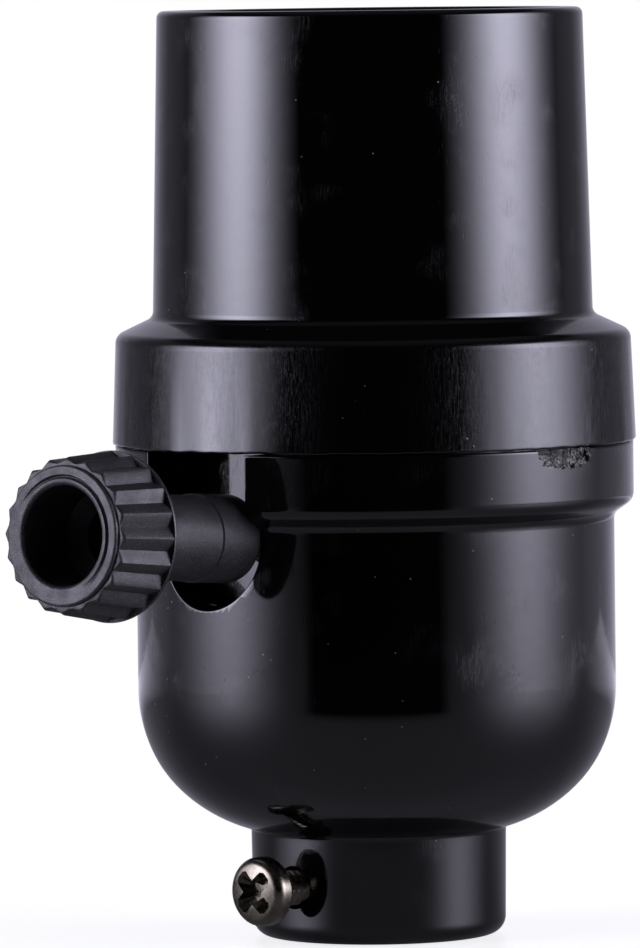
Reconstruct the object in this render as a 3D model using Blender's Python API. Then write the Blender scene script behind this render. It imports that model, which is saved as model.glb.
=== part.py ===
"""Medium base (E26) turn knob lamp socket, metres, +Z up.

The origin is on the socket's axis, at the mouth of its neck. The photo's side is -Y,
and the knob points to the front left. Each moulded or folded piece is one object.
"""
import math

import bmesh
import bpy
from mathutils import Matrix, Vector

# Clearances
FIT = 0.0003                    # between pieces that seat or slide on each other
SEAM_GAP = 0.00012              # fine seam between the ring and the cap
OVERCUT = 0.001                 # how far a hole's cutter runs past the face it leaves by

# Edges
EDGE_BREAK = 0.0002             # small rounding on hidden edges
SEAM_EDGE = 0.00013             # rounding beside the seam

# Screw shell for the bulb: the medium base's thread, which the socket is built round
THREAD_PITCH = 0.0036286        # 7 turns to the inch
THREAD_TURNS = 5
THREAD_CREST_RADIUS = 0.01255
THREAD_HEIGHT = 0.0008
THREAD_RUNOUT = 0.0018          # over which the thread grows out of the plain tube
SHELL_THICKNESS = 0.0004
SHELL_FOOT_WIDTH = 0.00385      # from the thread's crest in to the foot's edge
SHELL_FOOT_RISE = 0.0013        # plain part between the foot and the thread
SHELL_LIP_RISE = 0.0016         # plain part above the thread
RIVET_EDGE = 0.0015             # from the foot's edge out to the rivets
RIVET_INSET = 0.0017            # from the rivets out to the face behind each terminal

# Lower cap: neck, bowl and band
NECK_LENGTH = 0.0083
NECK_CORNER = 0.0016
NECK_WALL = 0.0030
NECK_FILLET = 0.0009
TERMINAL_SPACE = 0.0045         # from the face behind a terminal to the cap's wall
BOWL_CORNER = 0.01174
BOWL_WALL = 0.00248
BAND_BASE_Z = 0.0338
BAND_HEIGHT = 0.0052
BAND_STEP = 0.00158             # the band stands out from the bowl
BAND_CORNER = 0.0009
STEP_FILLET = 0.0005

# Upper shell: ring, shoulder and barrel
RING_OVERHANG = 0.00019         # past the band
RING_DRAFT = 0.00032            # smaller at its top
RING_HEIGHT = 0.00854
RING_WALL = 0.00205
RING_CORNER = 0.0010
RING_BORE_DEPTH = 0.00616
SHOULDER_RISE = 0.0014
SHOULDER_FILLET = 0.0008
BARREL_CLEARANCE = 0.00082      # round the screw shell
BARREL_DRAFT = 0.00059
BARREL_LENGTH = 0.02413
BARREL_WALL_BASE = 0.0028
BARREL_WALL_TOP = 0.0019
LIP_RADIUS = 0.00055

# Keyhole slot for the knob's stem, and the chip in the cap's rim
SLOT_AZIMUTH = 44.6             # degrees from the front towards the left
SLOT_SIDE_PLAY = 0.00185
HOLE_PLAY = 0.00205
HOLE_DROP = 0.00033             # hole centre below the stem's axis
CHIP_AZIMUTH = -47.0
CHIP_RADIUS = 0.0020
CHIP_DEPTH = 0.00035
CHIP_LOWER = 0.0011             # how far the chip reaches below the rim

# Metal insert and set screw in the neck
INSERT_BORE_RADIUS = 0.00475    # takes a 1/8 inch lamp pipe
INSERT_WALL = 0.00203
INSERT_FLANGE_LIP = 0.00122     # over the floor round the neck's bore
INSERT_FLANGE_THICKNESS = 0.0011
INSERT_RECESS = 0.0005
SET_SCREW_AZIMUTH = 42.0
SET_SCREW_Z = 0.00445
SET_SCREW_BACKED_OUT = 0.00307  # from the neck to the underside of the head
SET_SCREW_LENGTH = 0.00635
SET_SCREW_SHANK_RADIUS = 0.00138
SET_SCREW_HEAD_RADIUS = 0.00273
SET_SCREW_HEAD_HEIGHT = 0.00175
RECESS_REACH = 0.0017           # crossed recess, centre to the end of a wing
RECESS_WING = 0.0008
RECESS_DEPTH = 0.0012
SET_SCREW_DOME = 0.0013         # rounding of the pan head's rim

# Turn knob and its spindle, along a shaft that rises a little outwards
SHAFT_AZIMUTH = 38.3
SHAFT_TILT = 3.85
SHAFT_DROP = 0.01184            # below the flange of the switch body
STEM_RADIUS = 0.00345
STEM_CLEARANCE = 0.00455        # from the switch body's face to the stem's end
STEM_LENGTH = 0.01405
STEM_STEP = 0.00012             # the outer half of the stem is a little thinner
STEM_STEP_AT = 0.0045
HEAD_LENGTH = 0.00595
HEAD_FRONT_RADIUS = 0.00603
HEAD_FLARE = 0.00057            # wider at its back
HEAD_RIM = 0.0006
FACE_INSET = 0.00063            # the face ring stands inside the flutes' tips
FACE_STEP = 0.00035
FACE_WIDTH = 0.00155            # of the ring round the knob's hollow
FLUTES = 20
FLUTE_DEPTH = 0.0005
FLUTE_LEAD = 0.0003             # bevel at the front of each flute's tip
KNOB_BORE_DRAFT = 0.00023
STEM_WALL = 0.00105
STEM_BORE_LENGTH = 0.0064       # narrow part of the hollow, inside the stem
KNOB_BORE_CONE = 0.0010         # length of the cone between the wide and the narrow bore
BORE_EDGE = 0.00035
CRESCENT_SHIFT = 0.00022        # the shallow crescent groove round the bore
CRESCENT_INSET = 0.00055        # from the hollow's wall out to the groove
CRESCENT_WIDTH = 0.00026
CRESCENT_DEPTH = 0.0003         # at its deepest, on the side towards the socket
SPINDLE_RADIUS = 0.0016
SPINDLE_ENGAGEMENT = 0.0052     # inside the knob's stem
SPINDLE_END_PLAY = 0.0006
BEARING_DEPTH = 0.0030          # blind bearing in the switch body's rear wall
CLIP_GROOVE_RADIUS = 0.0011
CLIP_RADIUS = 0.0031
CLIP_THICKNESS = 0.0004
CLIP_OPENING = 0.0018
CAM_LENGTH = 0.0032
CAM_LOBE_RADIUS = 0.0046
CAM_WAIST_RADIUS = 0.0032
CAM_CLEARANCE = 0.00156         # between a lowered lobe and the switch body's base
DETENT_LENGTH = 0.0042
DETENT_CORNER_RADIUS = 0.0042
DETENT_CORNER_CUT = 0.0011      # from the flats out to the corners
ROTOR_END_SPACE = 0.0018        # from the rotor's end to the pocket's wall

# Switch body, in a frame whose +X is the shaft's heading
FLANGE_THICKNESS = 0.0020
FLANGE_PLAY = 0.0007
FACE_SETBACK = 0.0021           # of the flat face towards the knob
SIDE_WALL = 0.0046              # between the pocket and a terminal
POCKET_ROOF = 0.0055            # from the top of the body to the pocket's roof
SIDE_HALF_WIDTH = 0.0055
SIDE_ROOF = 0.0047
RIVET_POCKET_DEPTH = 0.0030
RIVET_POCKET_HALF_WIDTH = 0.0028
COVER_THICKNESS = 0.0007
COVER_END_MARGIN = 0.0011
COVER_SIDE_MARGIN = 0.0014
COVER_CORNER = 0.0030
COVER_SCREW_MARGIN = 0.0031     # from the flat face to the screws' axes
COVER_SCREW_INSET = 0.0008      # inside the line of the pocket's wall
COVER_SCREW_LENGTH = 0.0080
COVER_SCREW_SHANK_RADIUS = 0.0010
COVER_SCREW_HEAD_RADIUS = 0.0021
COVER_SCREW_HEAD_HEIGHT = 0.0012
COVER_SCREW_DOME = 0.0005

# Contacts and terminals
STRIP_WIDTH = 0.0060
STRIP_THICKNESS = 0.0004
SPRING_THICKNESS = 0.0003
FIXED_CONTACT_REACH = 0.0027    # into the pocket
CONTACT_OPENING = 0.0011        # between the open contacts
ARM_WIDTH = 0.0034
ARM_BEND = 0.0022               # height of the arm's bend down to the cam
ARM_TIP_PLAY = 0.0004           # from the arm's tip to the pocket's wall
DETENT_SPRING_WIDTH = 0.0034
DETENT_SPRING_HALF_HEIGHT = 0.0040
DETENT_SPRING_FLAT = 0.0022     # half the length of the part that bears on the rotor
TERMINAL_SCREW_RISE = 0.00402   # above the base of the switch body
TERMINAL_SHANK_RADIUS = 0.0016
TERMINAL_SHANK_LENGTH = 0.0039
TERMINAL_HEAD_RADIUS = 0.0033
TERMINAL_HEAD_HEIGHT = 0.0015
TERMINAL_DOME = 0.00075
DRIVER_SLOT_WIDTH = 0.0008
DRIVER_SLOT_DEPTH = 0.0006

# Washer and rivets under the screw shell, and the centre contact
WASHER_THICKNESS = 0.0007
WASHER_LIP = 0.00005            # past the screw shell
RIVET_RADIUS = 0.0009
RIVET_HEAD_RADIUS = 0.00135
RIVET_HEAD_HEIGHT = 0.0007
RIVET_DOME = 0.00045
CENTRE_RIVET_INSET = 0.0032     # from the foot's edge in to the centre rivet
CENTRE_CONTACT_WIDTH = 0.0050
CENTRE_CONTACT_RISE = 0.0042    # to the crest that the bulb's tip presses down
CENTRE_CONTACT_CREST_Y = 0.0017
CENTRE_CONTACT_REACH = 0.0043
CENTRE_CONTACT_CURL = 0.0010    # drop from the crest to the free end
CENTRE_CONTACT_KNEE = (-0.0010, 0.0029)

# Roundness of the turned pieces
SEGMENTS = 36
SMALL_SEGMENTS = 12
THREAD_SEGMENTS = 20
THREAD_ROWS = 5                 # rows of faces for each turn of the thread
ARC_STEP = math.radians(46)
FILLET_SHARE = 0.48             # most of an edge that one fillet may take up

# Stands a flat outline up: its X goes to Y, its Y to Z, and its thickness to X
UPRIGHT = Matrix(((0, 0, 1, 0), (1, 0, 0, 0), (0, 1, 0, 0), (0, 0, 0, 1)))

# Radii that follow from the sizes above, from the screw shell out to the ring
SHELL_FOOT_RADIUS = THREAD_CREST_RADIUS - SHELL_FOOT_WIDTH
SHELL_RADIUS = THREAD_CREST_RADIUS + THREAD_HEIGHT + SHELL_THICKNESS
WASHER_OUTER_RADIUS = SHELL_RADIUS + WASHER_LIP
CENTRE_RIVET_Y = SHELL_FOOT_RADIUS - CENTRE_RIVET_INSET
RIVET_RING_RADIUS = SHELL_FOOT_RADIUS + RIVET_EDGE
SIDE_FACE = RIVET_RING_RADIUS + RIVET_INSET
CAVITY_RADIUS = SIDE_FACE + TERMINAL_SPACE
BODY_RADIUS = CAVITY_RADIUS - FIT
BOWL_RADIUS = CAVITY_RADIUS + BOWL_WALL
BAND_RADIUS = BOWL_RADIUS + BAND_STEP
RING_BASE_RADIUS = BAND_RADIUS + RING_OVERHANG
RING_TOP_RADIUS = RING_BASE_RADIUS - RING_DRAFT
RING_BORE = RING_BASE_RADIUS - RING_WALL
SPIGOT_RADIUS = RING_BORE - FIT
BARREL_BORE_BASE = SHELL_RADIUS + BARREL_CLEARANCE
BARREL_BASE_RADIUS = BARREL_BORE_BASE + BARREL_WALL_BASE
BARREL_TOP_RADIUS = BARREL_BASE_RADIUS - BARREL_DRAFT
INSERT_RADIUS = INSERT_BORE_RADIUS + INSERT_WALL
NECK_BORE_RADIUS = INSERT_RADIUS + FIT
NECK_RADIUS = NECK_BORE_RADIUS + NECK_WALL
INSERT_FLANGE_RADIUS = NECK_BORE_RADIUS + INSERT_FLANGE_LIP

# Switch and knob
BODY_FACE = BODY_RADIUS - FACE_SETBACK
POCKET_HALF_LENGTH = CAM_LENGTH / 2 + DETENT_LENGTH + ROTOR_END_SPACE
POCKET_HALF_WIDTH = SIDE_FACE - SIDE_WALL
DETENT_FLAT = DETENT_CORNER_RADIUS - DETENT_CORNER_CUT
COVER_HALF_LENGTH = BODY_FACE - COVER_END_MARGIN
COVER_HALF_WIDTH = SIDE_FACE - COVER_SIDE_MARGIN
COVER_SCREW_X = BODY_FACE - COVER_SCREW_MARGIN
COVER_SCREW_Y = POCKET_HALF_WIDTH - COVER_SCREW_INSET
FIXED_CONTACT_Y = POCKET_HALF_WIDTH - FIXED_CONTACT_REACH
ARM_TIP_Y = POCKET_HALF_WIDTH - ARM_TIP_PLAY
PLATE_Y = SIDE_FACE + FIT + STRIP_THICKNESS / 2
STEM_START = BODY_FACE + STEM_CLEARANCE
HEAD_BACK_RADIUS = HEAD_FRONT_RADIUS + HEAD_FLARE
FACE_RADIUS = HEAD_FRONT_RADIUS - FACE_INSET
KNOB_BORE_RADIUS = FACE_RADIUS - FACE_WIDTH
KNOB_BORE_FLOOR_RADIUS = KNOB_BORE_RADIUS - KNOB_BORE_DRAFT
KNOB_BORE_END_RADIUS = STEM_RADIUS - STEM_WALL
KNOB_BORE_DEPTH = HEAD_LENGTH + STEM_BORE_LENGTH
CRESCENT_RADIUS = KNOB_BORE_RADIUS + CRESCENT_INSET

# Heights, from the neck up
SEAM_Z = BAND_BASE_Z + BAND_HEIGHT
RING_BASE_Z = SEAM_Z + SEAM_GAP
RING_TOP_Z = RING_BASE_Z + RING_HEIGHT
BARREL_BASE_Z = RING_TOP_Z + SHOULDER_RISE
TOP_Z = BARREL_BASE_Z + BARREL_LENGTH
LEDGE_Z = RING_BASE_Z + RING_BORE_DEPTH
BODY_TOP_Z = LEDGE_Z - FIT
FLANGE_BASE_Z = BODY_TOP_Z - FLANGE_THICKNESS
SPIGOT_TOP_Z = FLANGE_BASE_Z - FIT
SHAFT_Z = FLANGE_BASE_Z - SHAFT_DROP
BODY_BASE_Z = SHAFT_Z - CAM_LOBE_RADIUS - CAM_CLEARANCE
TERMINAL_SCREW_Z = BODY_BASE_Z + TERMINAL_SCREW_RISE
POCKET_TOP_Z = BODY_TOP_Z - POCKET_ROOF
SIDE_TOP_Z = BODY_TOP_Z - SIDE_ROOF
BOWL_CENTRE_RADIUS = BOWL_RADIUS - BOWL_CORNER
BOWL_RISE = math.sqrt(BOWL_CORNER ** 2 - (NECK_RADIUS - BOWL_CENTRE_RADIUS) ** 2)
BOWL_CENTRE_Z = NECK_LENGTH + BOWL_RISE
FLOOR_Z = BOWL_CENTRE_Z - (BOWL_CORNER - BOWL_WALL)
WASHER_BASE_Z = BODY_TOP_Z + FIT
SHELL_BASE_Z = WASHER_BASE_Z + WASHER_THICKNESS + FIT


def clear_scene():
    for obj in list(bpy.data.objects):
        bpy.data.objects.remove(obj, do_unlink=True)


def make_material(name, colour, roughness, metallic=0.0):
    material = bpy.data.materials.new(name)
    material.use_nodes = True
    shader = material.node_tree.nodes["Principled BSDF"]
    shader.inputs["Base Color"].default_value = (*colour, 1.0)
    shader.inputs["Roughness"].default_value = roughness
    shader.inputs["Metallic"].default_value = metallic
    material.diffuse_color = (*colour, 1.0)
    return material


def make_object(name, mesh_data, colour, roughness, metallic=0.0, parent=None):
    """Turn a bmesh into a named object with a material of its own."""
    bmesh.ops.remove_doubles(mesh_data, verts=mesh_data.verts, dist=1e-7)
    bmesh.ops.dissolve_degenerate(mesh_data, edges=mesh_data.edges, dist=1e-7)
    bmesh.ops.recalc_face_normals(mesh_data, faces=mesh_data.faces)
    mesh = bpy.data.meshes.new(name)
    mesh_data.to_mesh(mesh)
    mesh_data.free()
    mesh.shade_smooth()
    mesh.set_sharp_from_angle(angle=math.radians(35))
    mesh.materials.append(make_material(name + "_finish", colour, roughness, metallic))
    obj = bpy.data.objects.new(name, mesh)
    bpy.context.scene.collection.objects.link(obj)
    obj.parent = parent
    return obj


def make_frame(name, location=(0, 0, 0), rotation=(0, 0, 0), parent=None):
    """An empty that places the pieces parented to it."""
    empty = bpy.data.objects.new(name, None)
    empty.location = location
    empty.rotation_euler = rotation
    empty.parent = parent
    bpy.context.scene.collection.objects.link(empty)
    return empty


def cut(target, mesh_data, name, parent=None):
    """Subtract a closed shape from an object, with a live Boolean modifier."""
    bmesh.ops.recalc_face_normals(mesh_data, faces=mesh_data.faces)
    mesh = bpy.data.meshes.new(name)
    mesh_data.to_mesh(mesh)
    mesh_data.free()
    cutter = bpy.data.objects.new(name, mesh)
    cutter.display_type = "WIRE"
    cutter.hide_render = True
    cutter.parent = parent
    bpy.context.scene.collection.objects.link(cutter)
    modifier = target.modifiers.new(name, "BOOLEAN")
    modifier.operation = "DIFFERENCE"
    modifier.solver = "EXACT"
    modifier.object = cutter
    return cutter


def rounded(corners):
    """Fillet a polygon: corners are (x, y, radius), and each round is an arc."""
    outline = []
    count = len(corners)
    for index, (x, y, radius) in enumerate(corners):
        corner = Vector((x, y))
        if radius <= 0:
            outline.append(corner)
            continue
        before = Vector(corners[index - 1][:2]) - corner
        after = Vector(corners[(index + 1) % count][:2]) - corner
        turn = math.pi - before.angle(after)
        reach = radius * math.tan(turn / 2)
        limit = FILLET_SHARE * min(before.length, after.length)
        if reach > limit:
            radius *= limit / reach
            reach = limit
        start = corner + before.normalized() * reach
        middle = before.normalized() + after.normalized()
        centre = corner + middle.normalized() * math.hypot(radius, reach)
        first = start - centre
        side = before.x * after.y - before.y * after.x
        sense = 1.0 if side < 0 else -1.0
        steps = max(2, math.ceil(turn / ARC_STEP))
        for step in range(steps + 1):
            angle = sense * turn * step / steps
            spun = Matrix.Rotation(angle, 2) @ first
            outline.append(centre + spun)
    return outline


def arc_points(centre_x, centre_y, radius, start, end, steps):
    """Points on an arc between two angles in degrees, both ends included."""
    points = []
    for step in range(steps + 1):
        angle = math.radians(start + (end - start) * step / steps)
        points.append((centre_x + radius * math.cos(angle), centre_y + radius * math.sin(angle), 0))
    return points


def spun(outline, segments=SEGMENTS):
    """Spin a closed outline of (radius, height) round Z."""
    data = bmesh.new()
    verts = [data.verts.new((max(point[0], 0.0), 0.0, point[1])) for point in outline]
    edges = [data.edges.new((verts[i - 1], verts[i])) for i in range(len(verts))]
    bmesh.ops.spin(data, geom=verts + edges, axis=(0, 0, 1), cent=(0, 0, 0),
                   steps=segments, angle=math.tau, use_merge=True)
    bmesh.ops.remove_doubles(data, verts=data.verts, dist=1e-7)
    bmesh.ops.dissolve_degenerate(data, edges=data.edges, dist=1e-7)
    loose = [edge for edge in data.edges if not edge.link_faces]
    bmesh.ops.delete(data, geom=loose, context="EDGES")
    return data


def ringed(rows, segments):
    """Skin a closed loop of rings: each row is (height, radius at an angle)."""
    data = bmesh.new()
    rings = []
    for height, radius_at in rows:
        ring = []
        for step in range(segments):
            angle = math.tau * step / segments
            radius = radius_at(angle)
            ring.append(data.verts.new((radius * math.cos(angle), radius * math.sin(angle), height)))
        rings.append(ring)
    for low, high in zip(rings, rings[1:] + rings[:1]):
        for step in range(segments):
            after = (step + 1) % segments
            data.faces.new((low[step], low[after], high[after], high[step]))
    return data


def prism(outline, low, high):
    """Extrude a closed outline in XY from one height to another."""
    data = bmesh.new()
    face = data.faces.new([data.verts.new((point[0], point[1], low)) for point in outline])
    grown = bmesh.ops.extrude_face_region(data, geom=[face])
    lifted = [item for item in grown["geom"] if isinstance(item, bmesh.types.BMVert)]
    bmesh.ops.translate(data, verts=lifted, vec=(0, 0, high - low))
    return data


def block(low, high):
    """An axis aligned box between two corners."""
    outline = [(low[0], low[1]), (high[0], low[1]), (high[0], high[1]), (low[0], high[1])]
    return prism(outline, low[2], high[2])


def turned_by(data, matrix):
    bmesh.ops.transform(data, matrix=matrix, verts=data.verts)
    return data


def rod(radius, low, high, segments=SMALL_SEGMENTS):
    """A plain rod, turned half a facet so that no corner lies on a neighbour's edge."""
    data = spun([(0, high), (radius, high), (radius, low), (0, low)], segments)
    return turned_by(data, Matrix.Rotation(math.pi / segments / 2, 4, "Z"))


def along_x(data):
    return turned_by(data, Matrix.Rotation(math.pi / 2, 4, "Y"))


def along_y(data):
    return turned_by(data, Matrix.Rotation(-math.pi / 2, 4, "X"))


def shifted(data, x, y, z=0.0):
    bmesh.ops.translate(data, verts=data.verts, vec=(x, y, z))
    return data


def folded_strip(path, thickness, width, bend=0.0008):
    """A sheet strip folded along a path of (y, z), with its width along X."""
    offsets = []
    for index, point in enumerate(path):
        here = Vector(point)
        before = here - Vector(path[index - 1]) if index else None
        after = Vector(path[index + 1]) - here if index + 1 < len(path) else None
        first = (before or after).normalized()
        last = (after or before).normalized()
        normal = Vector((-(first + last).y, (first + last).x)).normalized()
        offsets.append(normal * (thickness / 2) / max(normal.dot(Vector((-first.y, first.x))), 0.3))
    last_index = len(path) - 1
    left = []
    right = []
    for index, (point, offset) in enumerate(zip(path, offsets)):
        inside = 0 < index < last_index
        left.append((*(Vector(point) + offset), bend if inside else 0))
        right.append((*(Vector(point) - offset), bend if inside else 0))
    outline = rounded(left + right[::-1])
    data = prism([(point.x, point.y) for point in outline], -width / 2, width / 2)
    return turned_by(data, UPRIGHT)


def headed_pin(shank_radius, shank_length, head_radius, head_height, dome):
    """A pin along -Z from its head's underside, with a domed head above."""
    outline = rounded([
        (0, head_height, 0), (head_radius, head_height, dome), (head_radius, 0, 0),
        (shank_radius, 0, 0), (shank_radius, -shank_length, 0), (0, -shank_length, 0),
    ])
    return spun(outline, SMALL_SEGMENTS)


def heading(azimuth):
    """World angle of a direction given from the front (-Y) towards the left (-X)."""
    return math.radians(-90.0 - azimuth)


def shell_outline():
    """Half section of the upper shell: down the outside, up the inside."""
    bore_top = BARREL_TOP_RADIUS - BARREL_WALL_TOP
    return rounded([
        (BARREL_TOP_RADIUS, TOP_Z, LIP_RADIUS),
        (BARREL_BASE_RADIUS, BARREL_BASE_Z, SHOULDER_FILLET),
        (RING_TOP_RADIUS, RING_TOP_Z, RING_CORNER),
        (RING_BASE_RADIUS, RING_BASE_Z, SEAM_EDGE),
        (RING_BORE, RING_BASE_Z, EDGE_BREAK),
        (RING_BORE, LEDGE_Z, 0),
        (BARREL_BORE_BASE, LEDGE_Z, 0),
        (bore_top, TOP_Z, LIP_RADIUS),
    ])


def floor_height(radius):
    """Height of the bowl's inner floor at a distance from the axis."""
    outside = radius - BOWL_CENTRE_RADIUS
    if outside <= 0:
        return FLOOR_Z
    return BOWL_CENTRE_Z - math.sqrt((BOWL_CORNER - BOWL_WALL) ** 2 - outside ** 2)


def cap_outline():
    """Half section of the lower cap: down the outside, up the inside."""
    junction = math.degrees(math.acos((NECK_RADIUS - BOWL_CENTRE_RADIUS) / BOWL_CORNER))
    bowl = arc_points(BOWL_CENTRE_RADIUS, BOWL_CENTRE_Z, BOWL_CORNER, 0, -junction, 7)
    bowl[-1] = (NECK_RADIUS, NECK_LENGTH, NECK_FILLET)
    inner = arc_points(BOWL_CENTRE_RADIUS, BOWL_CENTRE_Z, BOWL_CORNER - BOWL_WALL, -90, 0, 5)
    corners = [
        (SPIGOT_RADIUS, SPIGOT_TOP_Z, EDGE_BREAK),
        (SPIGOT_RADIUS, SEAM_Z, 0),
        (BAND_RADIUS, SEAM_Z, SEAM_EDGE),
        (BAND_RADIUS, BAND_BASE_Z, BAND_CORNER),
        (BOWL_RADIUS, BAND_BASE_Z, STEP_FILLET),
    ]
    corners += bowl
    corners += [(NECK_RADIUS, 0, NECK_CORNER), (NECK_BORE_RADIUS, 0, EDGE_BREAK)]
    corners.append((NECK_BORE_RADIUS, floor_height(NECK_BORE_RADIUS), 0))
    corners += [point for point in inner if point[0] > NECK_BORE_RADIUS]
    corners.append((CAVITY_RADIUS, SPIGOT_TOP_Z, EDGE_BREAK))
    return rounded(corners)


def keyhole_outline(side, hole, centre_z, top_z):
    """Round hole with a narrower slot that runs up out of it."""
    meet = math.degrees(math.acos(min(side / hole, 1.0)))
    points = arc_points(0, centre_z, hole, 180 - meet, 360 + meet, 18)
    outline = [(point[0], point[1]) for point in points]
    return outline + [(side, top_z), (-side, top_z)]


def build_upper_shell():
    return make_object("upper_shell", spun(shell_outline()), (0.012, 0.012, 0.014), 0.12)


def build_lower_cap():
    cap = make_object("lower_cap", spun(cap_outline()), (0.012, 0.012, 0.014), 0.12)
    slot_frame = make_frame("slot_frame", rotation=(0, 0, heading(SLOT_AZIMUTH)))
    side = STEM_RADIUS + SLOT_SIDE_PLAY
    hole = STEM_RADIUS + HOLE_PLAY
    wall_middle = (BAND_RADIUS + CAVITY_RADIUS) / 2
    centre_z = SHAFT_Z + wall_middle * math.tan(math.radians(SHAFT_TILT)) - HOLE_DROP
    outline = keyhole_outline(side, hole, centre_z, SPIGOT_TOP_Z + FLANGE_THICKNESS)
    slot = prism(outline, CAVITY_RADIUS / 2, BAND_RADIUS + OVERCUT)
    cut(cap, turned_by(slot, UPRIGHT), "keyhole_cutter", slot_frame)
    chip_frame = make_frame("chip_frame", rotation=(0, 0, heading(CHIP_AZIMUTH)))
    chip = bmesh.new()
    bmesh.ops.create_icosphere(chip, subdivisions=1, radius=1.0)
    bmesh.ops.scale(chip, vec=(CHIP_DEPTH * 2, CHIP_RADIUS, CHIP_LOWER), verts=chip.verts)
    cut(cap, shifted(chip, BAND_RADIUS + CHIP_DEPTH, 0, SEAM_Z), "chip_cutter", chip_frame)
    screw_frame = make_frame("set_screw_hole_frame", rotation=(0, 0, heading(SET_SCREW_AZIMUTH)))
    hole = along_x(rod(SET_SCREW_SHANK_RADIUS + FIT, INSERT_BORE_RADIUS / 2, NECK_RADIUS + OVERCUT))
    cut(cap, shifted(hole, 0, 0, SET_SCREW_Z), "set_screw_cutter", screw_frame)
    return cap


def build_neck_insert():
    """Tapped insert for the lamp's pipe, with a flange on the cap's floor."""
    flange_z = floor_height(INSERT_FLANGE_RADIUS) + FIT
    top = flange_z + INSERT_FLANGE_THICKNESS
    outline = rounded([
        (INSERT_FLANGE_RADIUS, top, EDGE_BREAK), (INSERT_FLANGE_RADIUS, flange_z, 0),
        (INSERT_RADIUS, flange_z, 0), (INSERT_RADIUS, INSERT_RECESS, EDGE_BREAK),
        (INSERT_BORE_RADIUS, INSERT_RECESS, EDGE_BREAK), (INSERT_BORE_RADIUS, top, EDGE_BREAK),
    ])
    insert = make_object("neck_bushing", spun(outline, 24), (0.45, 0.44, 0.42), 0.35, 1.0)
    frame = make_frame("insert_hole_frame", rotation=(0, 0, heading(SET_SCREW_AZIMUTH)))
    hole = along_x(rod(SET_SCREW_SHANK_RADIUS + FIT, INSERT_BORE_RADIUS / 2, NECK_RADIUS))
    cut(insert, shifted(hole, 0, 0, SET_SCREW_Z), "insert_hole_cutter", frame)
    return insert


def build_set_screw():
    """Pan head screw with a crossed recess, on an axis through the neck's centre."""
    frame = make_frame("set_screw_frame", (0, 0, SET_SCREW_Z), (0, 0, heading(SET_SCREW_AZIMUTH)))
    seat = NECK_RADIUS + SET_SCREW_BACKED_OUT
    data = headed_pin(SET_SCREW_SHANK_RADIUS, SET_SCREW_LENGTH, SET_SCREW_HEAD_RADIUS,
                      SET_SCREW_HEAD_HEIGHT, SET_SCREW_DOME)
    screw = make_object("set_screw", along_x(data), (0.30, 0.28, 0.26), 0.22, 1.0, frame)
    screw.location = (seat, 0, 0)
    floor = seat + SET_SCREW_HEAD_HEIGHT - RECESS_DEPTH
    front = seat + SET_SCREW_HEAD_HEIGHT + RECESS_DEPTH
    for index, turn in enumerate((45, 135)):
        wing = block((floor, -RECESS_REACH, -RECESS_WING / 2), (front, RECESS_REACH, RECESS_WING / 2))
        cut(screw, turned_by(wing, Matrix.Rotation(math.radians(turn), 4, "X")),
            "recess_cutter_%d" % index, frame)
    return screw


def knob_rows():
    """Rings of the knob from the bore's bottom out over the face and back to the stem's end."""
    face = STEM_LENGTH + HEAD_LENGTH

    def plain(radius):
        return lambda angle: radius

    def fluted(tip, depth=FLUTE_DEPTH):
        def radius_at(angle):
            phase = (angle * FLUTES / math.tau) % 1.0
            return tip - depth * (1.0 - abs(2.0 * phase - 1.0))
        return radius_at

    fluted_length = HEAD_LENGTH - HEAD_RIM
    slope = (HEAD_BACK_RADIUS - HEAD_FRONT_RADIUS) / HEAD_LENGTH
    rim_front = HEAD_BACK_RADIUS - slope * HEAD_RIM
    socket = SPINDLE_RADIUS + FIT
    socket_depth = SPINDLE_ENGAGEMENT + SPINDLE_END_PLAY
    outer_stem = STEM_RADIUS - STEM_STEP
    return [
        (face - KNOB_BORE_DEPTH, plain(0.0)),
        (face - KNOB_BORE_DEPTH, plain(KNOB_BORE_END_RADIUS)),
        (face - HEAD_LENGTH, plain(KNOB_BORE_END_RADIUS)),
        (face - HEAD_LENGTH + KNOB_BORE_CONE, plain(KNOB_BORE_FLOOR_RADIUS)),
        (face - BORE_EDGE, plain(KNOB_BORE_RADIUS)),
        (face - BORE_EDGE * 0.3, plain(KNOB_BORE_RADIUS + BORE_EDGE * 0.3)),
        (face, plain(KNOB_BORE_RADIUS + BORE_EDGE)),
        (face, plain(FACE_RADIUS - EDGE_BREAK)),
        (face - EDGE_BREAK, plain(FACE_RADIUS)),
        (face - FACE_STEP, plain(FACE_RADIUS)),
        (face - FACE_STEP, fluted(HEAD_FRONT_RADIUS - FLUTE_LEAD, FLUTE_DEPTH - FLUTE_LEAD)),
        (face - FACE_STEP - FLUTE_LEAD, fluted(HEAD_FRONT_RADIUS + slope * (FACE_STEP + FLUTE_LEAD))),
        (face - fluted_length, fluted(rim_front)),
        (face - fluted_length, plain(rim_front)),
        (STEM_LENGTH, plain(HEAD_BACK_RADIUS)),
        (STEM_LENGTH, plain(outer_stem)),
        (STEM_STEP_AT + STEM_STEP, plain(outer_stem)),
        (STEM_STEP_AT, plain(STEM_RADIUS)),
        (EDGE_BREAK, plain(STEM_RADIUS)),
        (0.0, plain(STEM_RADIUS - EDGE_BREAK)),
        (0.0, plain(socket)),
        (socket_depth, plain(socket)),
        (socket_depth, plain(0.0)),
    ]


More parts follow.
